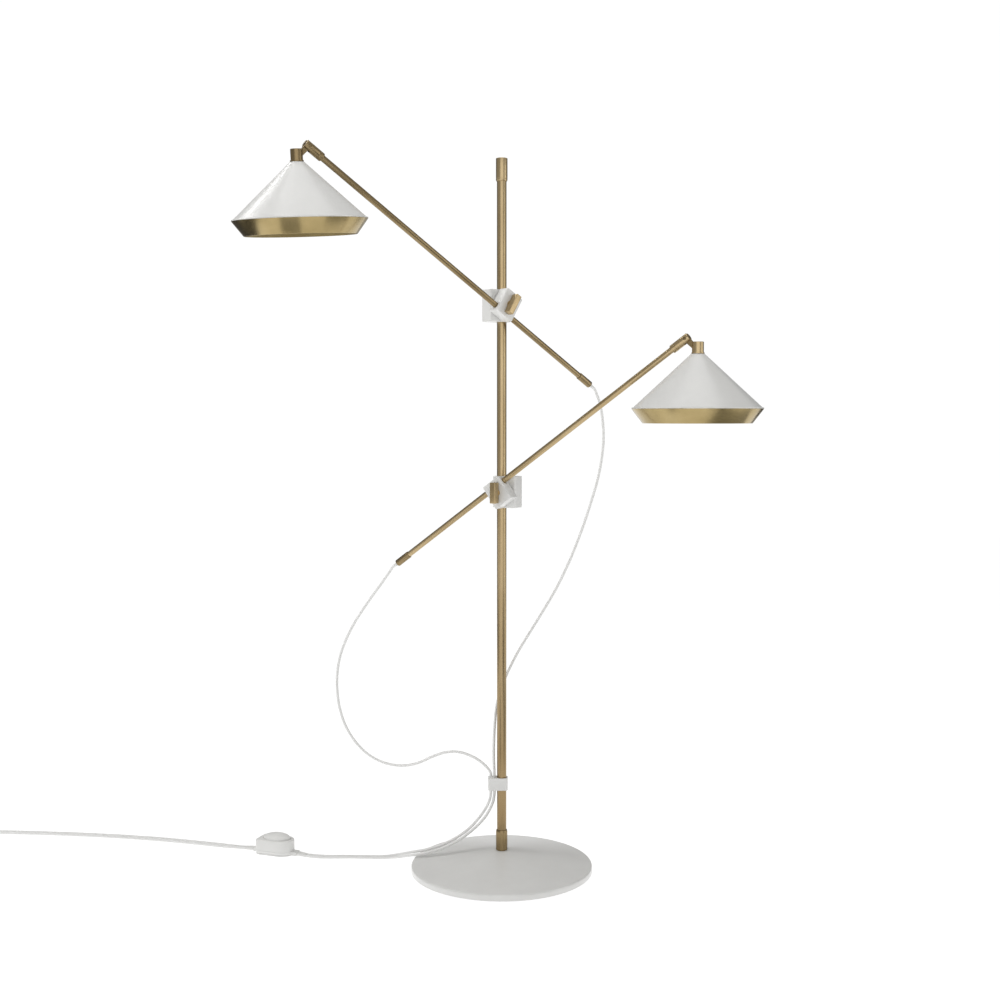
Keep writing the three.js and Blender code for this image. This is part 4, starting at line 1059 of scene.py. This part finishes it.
def switch_housing(at):
    """Its plate's rim, a groove round it above that, and a rounded top, as (height, inset)."""
    levels = [(3.3, 1.2), (4.0, 0.4), (5.0, 0), (9.6, 0), (9.9, 0.45), (10.5, 0.45), (10.8, 0)]
    levels += [(30.6, 0.25), (32.0, 0.6), (33.1, 1.4), (33.8, 2.6), (SWITCH_TOP, 4.0)]
    reach = SWITCH_L / 2 + COLLAR_OUT
    collars = soft_slab(rounded_plan(-reach, -10, reach, 10, 2, 5), 0.9, 9.3, 1.2)
    under = stacked(switch_plan, [(-3, 0.5), (3.3, 0.5)])
    tools = [under, oblong(rod(PEDAL_HALF_W + 0.6, SWITCH_TOP - POCKET_DEPTH, SWITCH_TOP + 3, 88))]
    for lane in (-1, 1):
        mouth = turned_to(rod(CORD_R + 0.3, -200, 200, 28), ALONG_X)
        tools.append(moved(mouth, y=lane * (CORD_R + 1), z=SWITCH_CORD_Z))
    tools = [("UNION", collars), *cut(*tools)]
    body = stacked(switch_plan, levels)
    return piece("foot_switch_body", body, "plastic", at, "stand", "switch_housing", tools=tools)


def add_switch():
    at = shifted(*SWITCH_AT, 0) @ Matrix.Rotation(math.radians(SWITCH_TURN), 4, "Z")
    body = switch_housing(at)
    base = soft_slab(lambda inset: switch_plan(0.9 + inset), 0, 3, 0.5)
    plate = piece("foot_switch_base", base, "plastic", at, "stand", "switch_plate")
    edge = SWITCH_TOP + 1.5
    dome = [(0, edge - 12), (PEDAL_HALF_W, edge - 12, 0.5), (PEDAL_HALF_W, edge, 0.4)]
    for degrees in range(8, 90, 8):
        a = math.radians(degrees)
        dome.append((PEDAL_HALF_W * math.cos(a), edge + PEDAL_DOME * math.sin(a), 1))
    dome.append((0, edge + PEDAL_DOME))
    pedal = oblong(lathe(dome, 88, closed=False))
    button = piece("foot_switch_pedal", pedal, "plastic", at, "pedal", "switch_pedal", smooth_to=50)
    return [body, plate, button]


def relief_sleeve(name, place, heading):
    """A tapered, ribbed sleeve on a cord where it leaves the switch."""
    profile = [(CORD_R + 0.05, 0, 0.1), (CORD_R + 1.1, 0, 0.3)]
    for i in range(4):
        z, r = 3.0 + 4.6 * i, CORD_R + 1.0 - 0.2 * i
        profile += [(r, z, 0.2), (r - 0.4, z + 0.6, 0.2), (r - 0.4, z + 2.0, 0.2), (r - 0.1, z + 2.6, 0.2)]
    profile += [(CORD_R + 0.2, 22, 0.15), (CORD_R + 0.05, 22, 0.1)]
    at = shifted(*place) @ Vector(heading).to_track_quat("Z", "Y").to_matrix().to_4x4()
    return piece(name, lathe(profile, 40, 0.2), "plastic", at, "stand")


def plug_section(x, half_w, half_t, power):
    """A section of the plug, from round (power 2) to nearly square."""
    points = []
    steps = 40
    for i in range(steps):
        a = 2 * math.pi * i / steps
        c, s = math.cos(a), math.sin(a)
        y = half_w * math.copysign(abs(c) ** (2 / power), c)
        z = half_t * math.copysign(abs(s) ** (2 / power), s)
        points.append((x, y, z))
    return points


def add_plug(name, tip, heading):
    """A flat two-pin plug: X from the tip of its nose to its pins."""
    at = shifted(*tip) @ Matrix.Rotation(math.radians(heading), 4, "Z")
    sections = [(0, 3.5, 3.5, 2)]
    for i in range(6):
        x, r = 1.5 + 3.6 * i, 4.0 + 0.22 * i
        for out, less in ((0, 0), (1.6, 0), (1.9, 0.5), (3.2, 0.4)):
            sections.append((x + out, r - less, r - less, 2))
    sections += [(23.5, 5.6, 5.4, 2), (26, 8.5, 6.2, 2.2), (30, 13.5, 7.6, 2.6), (35, 16.4, 8.5, 3.0)]
    sections += [(41, 17.6, 8.9, 3.3), (48, 18, 9, 3.6), (56, 18, 9, 3.8), (60.5, 17.6, 8.8, 3.8)]
    sections += [(62.4, 16.8, 8.1, 3.8), (63, 15.6, 7.0, 3.8)]
    shell = loft([plug_section(*s) for s in sections])
    made = [piece(f"{name}_plug_body", shell, "plastic", at, "stand", f"{name}_plug", smooth_to=40)]
    for what, look, r, x0, x1 in (("sleeves", "black", 2.0, 61, 72.5), ("pins", "steel", 1.85, 62, 82)):
        bm = bmesh.new()
        for side in (-9.5, 9.5):
            one = moved(turned_to(lathe([(0, x0), (r, x0), (r, x1, 1.0), (0, x1)], 28), ALONG_X), y=side)
            spare = bpy.data.meshes.new("spare")
            one.to_mesh(spare)
            one.free()
            bm.from_mesh(spare)
            bpy.data.meshes.remove(spare)
        made.append(piece(f"{name}_plug_{what}", bm, look, at, "stand"))
    return made


def add_tie(name, coil_y, turn, degrees):
    """A strap round the coil's strands."""
    a = math.radians(degrees)
    radial = Vector((math.cos(a), math.sin(a), 0))
    middle = Vector((COIL_X, coil_y + turn * COIL_TURN_R, 0))
    centre = middle + radial * (COIL_TURN_R - COIL_STEP / 2) + UP * 6.75
    half_w, half_h, wide, thick = 7.0, 6.7, 2.6, 0.45
    loops = []
    for x, grow in ((-wide, -thick / 2), (-wide, thick), (wide, thick), (wide, -thick / 2)):
        plan = rounded_plan(-half_w - grow, -half_h - grow, half_w + grow, half_h + grow, 3.2 + grow, 6)
        loops.append([(px, pz, x) for px, pz in plan(0)])
    at = Matrix.Translation(centre * MM) @ basis(radial, UP)
    return piece(name, loft(loops, closed=True), "black", at, "stand")


# ---- put together: cords first ----
LANES = {
    "upper": dict(
        route=UPPER_ROUTE,
        tail=UPPER_TAIL,
        coil_y=FRONT_CORD_Y,
        turn=-1,
        turns=4.25,
        tie_at=225,
        plug_tip=(COIL_X - COIL_TURN_R, FRONT_CORD_Y - COIL_TURN_R - PLUG_NOSE_TIP, 9),
        heading=270,
    ),
    "lower": dict(
        route=LOWER_ROUTE,
        tail=LOWER_TAIL,
        coil_y=REAR_CORD_Y,
        turn=1,
        turns=4.0,
        tie_at=180,
        plug_tip=(COIL_X - PLUG_NOSE_TIP, REAR_CORD_Y, 9),
        heading=180,
    ),
}
# The foot switch is made before the cords
switch_pieces = add_switch()
for lane_name, lane in LANES.items():
    for end, (mouth, beyond) in {"in": lane["route"][:-3:-1], "out": lane["tail"][:2]}.items():
        away = Vector(beyond) - Vector(mouth)
        place = Vector(mouth) + away.normalized() * 2
        relief_sleeve(f"{lane_name}_cord_sleeve_{end}", place, away)
    relief = add_rod(lane_name, AT[lane_name])
    plug = add_plug(lane_name, lane["plug_tip"], lane["heading"])
    tie = add_tie(f"{lane_name}_tie", lane["coil_y"], lane["turn"], lane["tie_at"])
    add_cord(lane_name, lane, relief)
    switch_pieces = []

add_foot()
add_pole()
add_clip()
for arm_name, arm_facts in ARMS.items():
    add_clamp(arm_name, arm_facts, AT[arm_name])
    for add_part in (add_holder, add_knob, add_fork, add_head):
        add_part(arm_name, AT[arm_name])

# CAD parts that stay get the finish of their record slot
KEPT = {"foot_ballast": "iron", "foot_bolt": "steel"}
KEPT.update({f"{name}_pivot_bolt": "steel" for name in ARMS})
for node_name, look_name in KEPT.items():
    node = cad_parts[node_name]
    node.data.materials.clear()
    node.data.materials.append(LOOKS[look_name][1])

# ---- floor, backdrop and light ----


def stage_piece(name, bm, material):
    """Something round the lamp that is no part of it."""
    mesh = bpy.data.meshes.new(name)
    bm.to_mesh(mesh)
    bm.free()
    mesh.materials.append(material)
    obj = placed(name, mesh)
    return obj


def plain_stage(name, colour, glow):
    material = new_material(name, specular=0.0)
    shader = shader_of(material)
    shader.inputs["Base Color"].default_value = (*colour, 1)
    shader.inputs["Roughness"].default_value = 1.0
    shader.inputs["Emission Color"].default_value = (1, 1, 1, 1)
    shader.inputs["Emission Strength"].default_value = glow
    return material


def aimed(obj, place, target):
    obj.location = place
    obj.rotation_euler = (Vector(target) - Vector(place)).to_track_quat("-Z", "Y").to_euler()
    return obj


def softbox(name, place, target, size, power, glossy=True):
    light = bpy.data.lights.new(name, "AREA")
    light.shape = "RECTANGLE"
    light.size, light.size_y = size
    light.energy = power
    obj = placed(name, light)
    obj.visible_camera = False
    obj.visible_glossy = glossy
    return aimed(obj, place, target)


def flag(name, place, target, size, material, turn=0):
    """A card, out of the camera's sight, that only metal and gloss can reflect."""
    bm = bmesh.new()
    bmesh.ops.create_grid(bm, x_segments=1, y_segments=1, size=0.5)
    bmesh.ops.scale(bm, vec=(size[0], size[1], 1), verts=bm.verts)
    obj = aimed(stage_piece(name, bm, material), place, target)
    obj.rotation_euler.rotate_axis("Z", math.radians(turn))
    obj.visible_camera = False
    obj.visible_shadow = False
    obj.visible_diffuse = False


def floor_card(name, x, y, size, material, turn=0):
    """What the rings and the arms see in the floor."""
    flag(name, (x, y, 0.02), (x, y, 0), size, material, turn)


floor_bm = bmesh.new()
bmesh.ops.create_circle(floor_bm, cap_ends=True, segments=96, radius=9.0)
floor = stage_piece("floor", floor_bm, plain_stage("pale_floor", (0.30, 0.30, 0.30), 0.90))
floor.location = (-0.3, 0.2, 0)

backdrop_bm = bmesh.new()
bmesh.ops.create_uvsphere(backdrop_bm, u_segments=48, v_segments=24, radius=11)
bmesh.ops.reverse_faces(backdrop_bm, faces=backdrop_bm.faces)
backdrop = stage_piece("backdrop", backdrop_bm, plain_stage("pale_backdrop", (0, 0, 0), 1.02))
for ray in ("diffuse", "glossy", "transmission", "volume_scatter", "shadow"):
    setattr(backdrop, f"visible_{ray}", False)

CARD_DARK = plain_stage("card_dark", (0.0, 0.0, 0.0), 0.08)
CARD_GREY = plain_stage("card_grey", (0.0, 0.0, 0.0), 0.36)
CARD_WHITE = plain_stage("card_white", (0.0, 0.0, 0.0), 1.3)
CARD_BRIGHT = plain_stage("card_bright", (0.0, 0.0, 0.0), 1.6)

world = bpy.data.worlds.new("world")
world.use_nodes = True
world.node_tree.nodes["Background"].inputs["Color"].default_value = (1.0, 0.99, 0.97, 1)
world.node_tree.nodes["Background"].inputs["Strength"].default_value = 0.40
bpy.context.scene.world = world
bpy.context.scene.view_settings.view_transform = "Standard"

AIM = (0, 0, 0.85)
softbox("key_left", (-2.9, -0.5, 2.2), AIM, (1.0, 2.0), 28, glossy=False)
softbox("fill_right", (3.0, -0.8, 1.2), AIM, (0.6, 2.4), 8, glossy=False)
softbox("top", (0, -0.5, 3.6), (0, 0, 0), (2.8, 2.2), 31)
softbox("back_left_strip", (-1.85, 1.25, 3.45), (-0.45, -0.36, 1.35), (0.16, 1.1), 5)
flag("card_front", (0.1, -3.5, 1.3), AIM, (4.0, 3.0), CARD_WHITE)
flag("card_right", (3.1, -0.9, 1.2), AIM, (1.5, 2.2), CARD_BRIGHT)
flag("card_back_left", (-2.4, 2.2, 1.0), AIM, (2.0, 3.4), CARD_DARK)
flag("card_back_right", (2.4, 2.2, 1.0), AIM, (2.0, 3.4), CARD_DARK)
flag("card_left_high", (-2.25, 1.35, 2.55), (0, -0.1, 1.2), (1.1, 0.9), CARD_DARK)
floor_card("floor_card_left", -2.35, 1.0, (1.3, 4.4), CARD_DARK)
floor_card("floor_card_middle", -0.55, -0.75, (0.6, 0.6), CARD_GREY)
floor_card("floor_card_right", 1.16, -0.04, (0.62, 1.5), CARD_GREY, -36)
floor_card("floor_card_front", 1.7, -1.6, (2.2, 1.5), CARD_DARK)
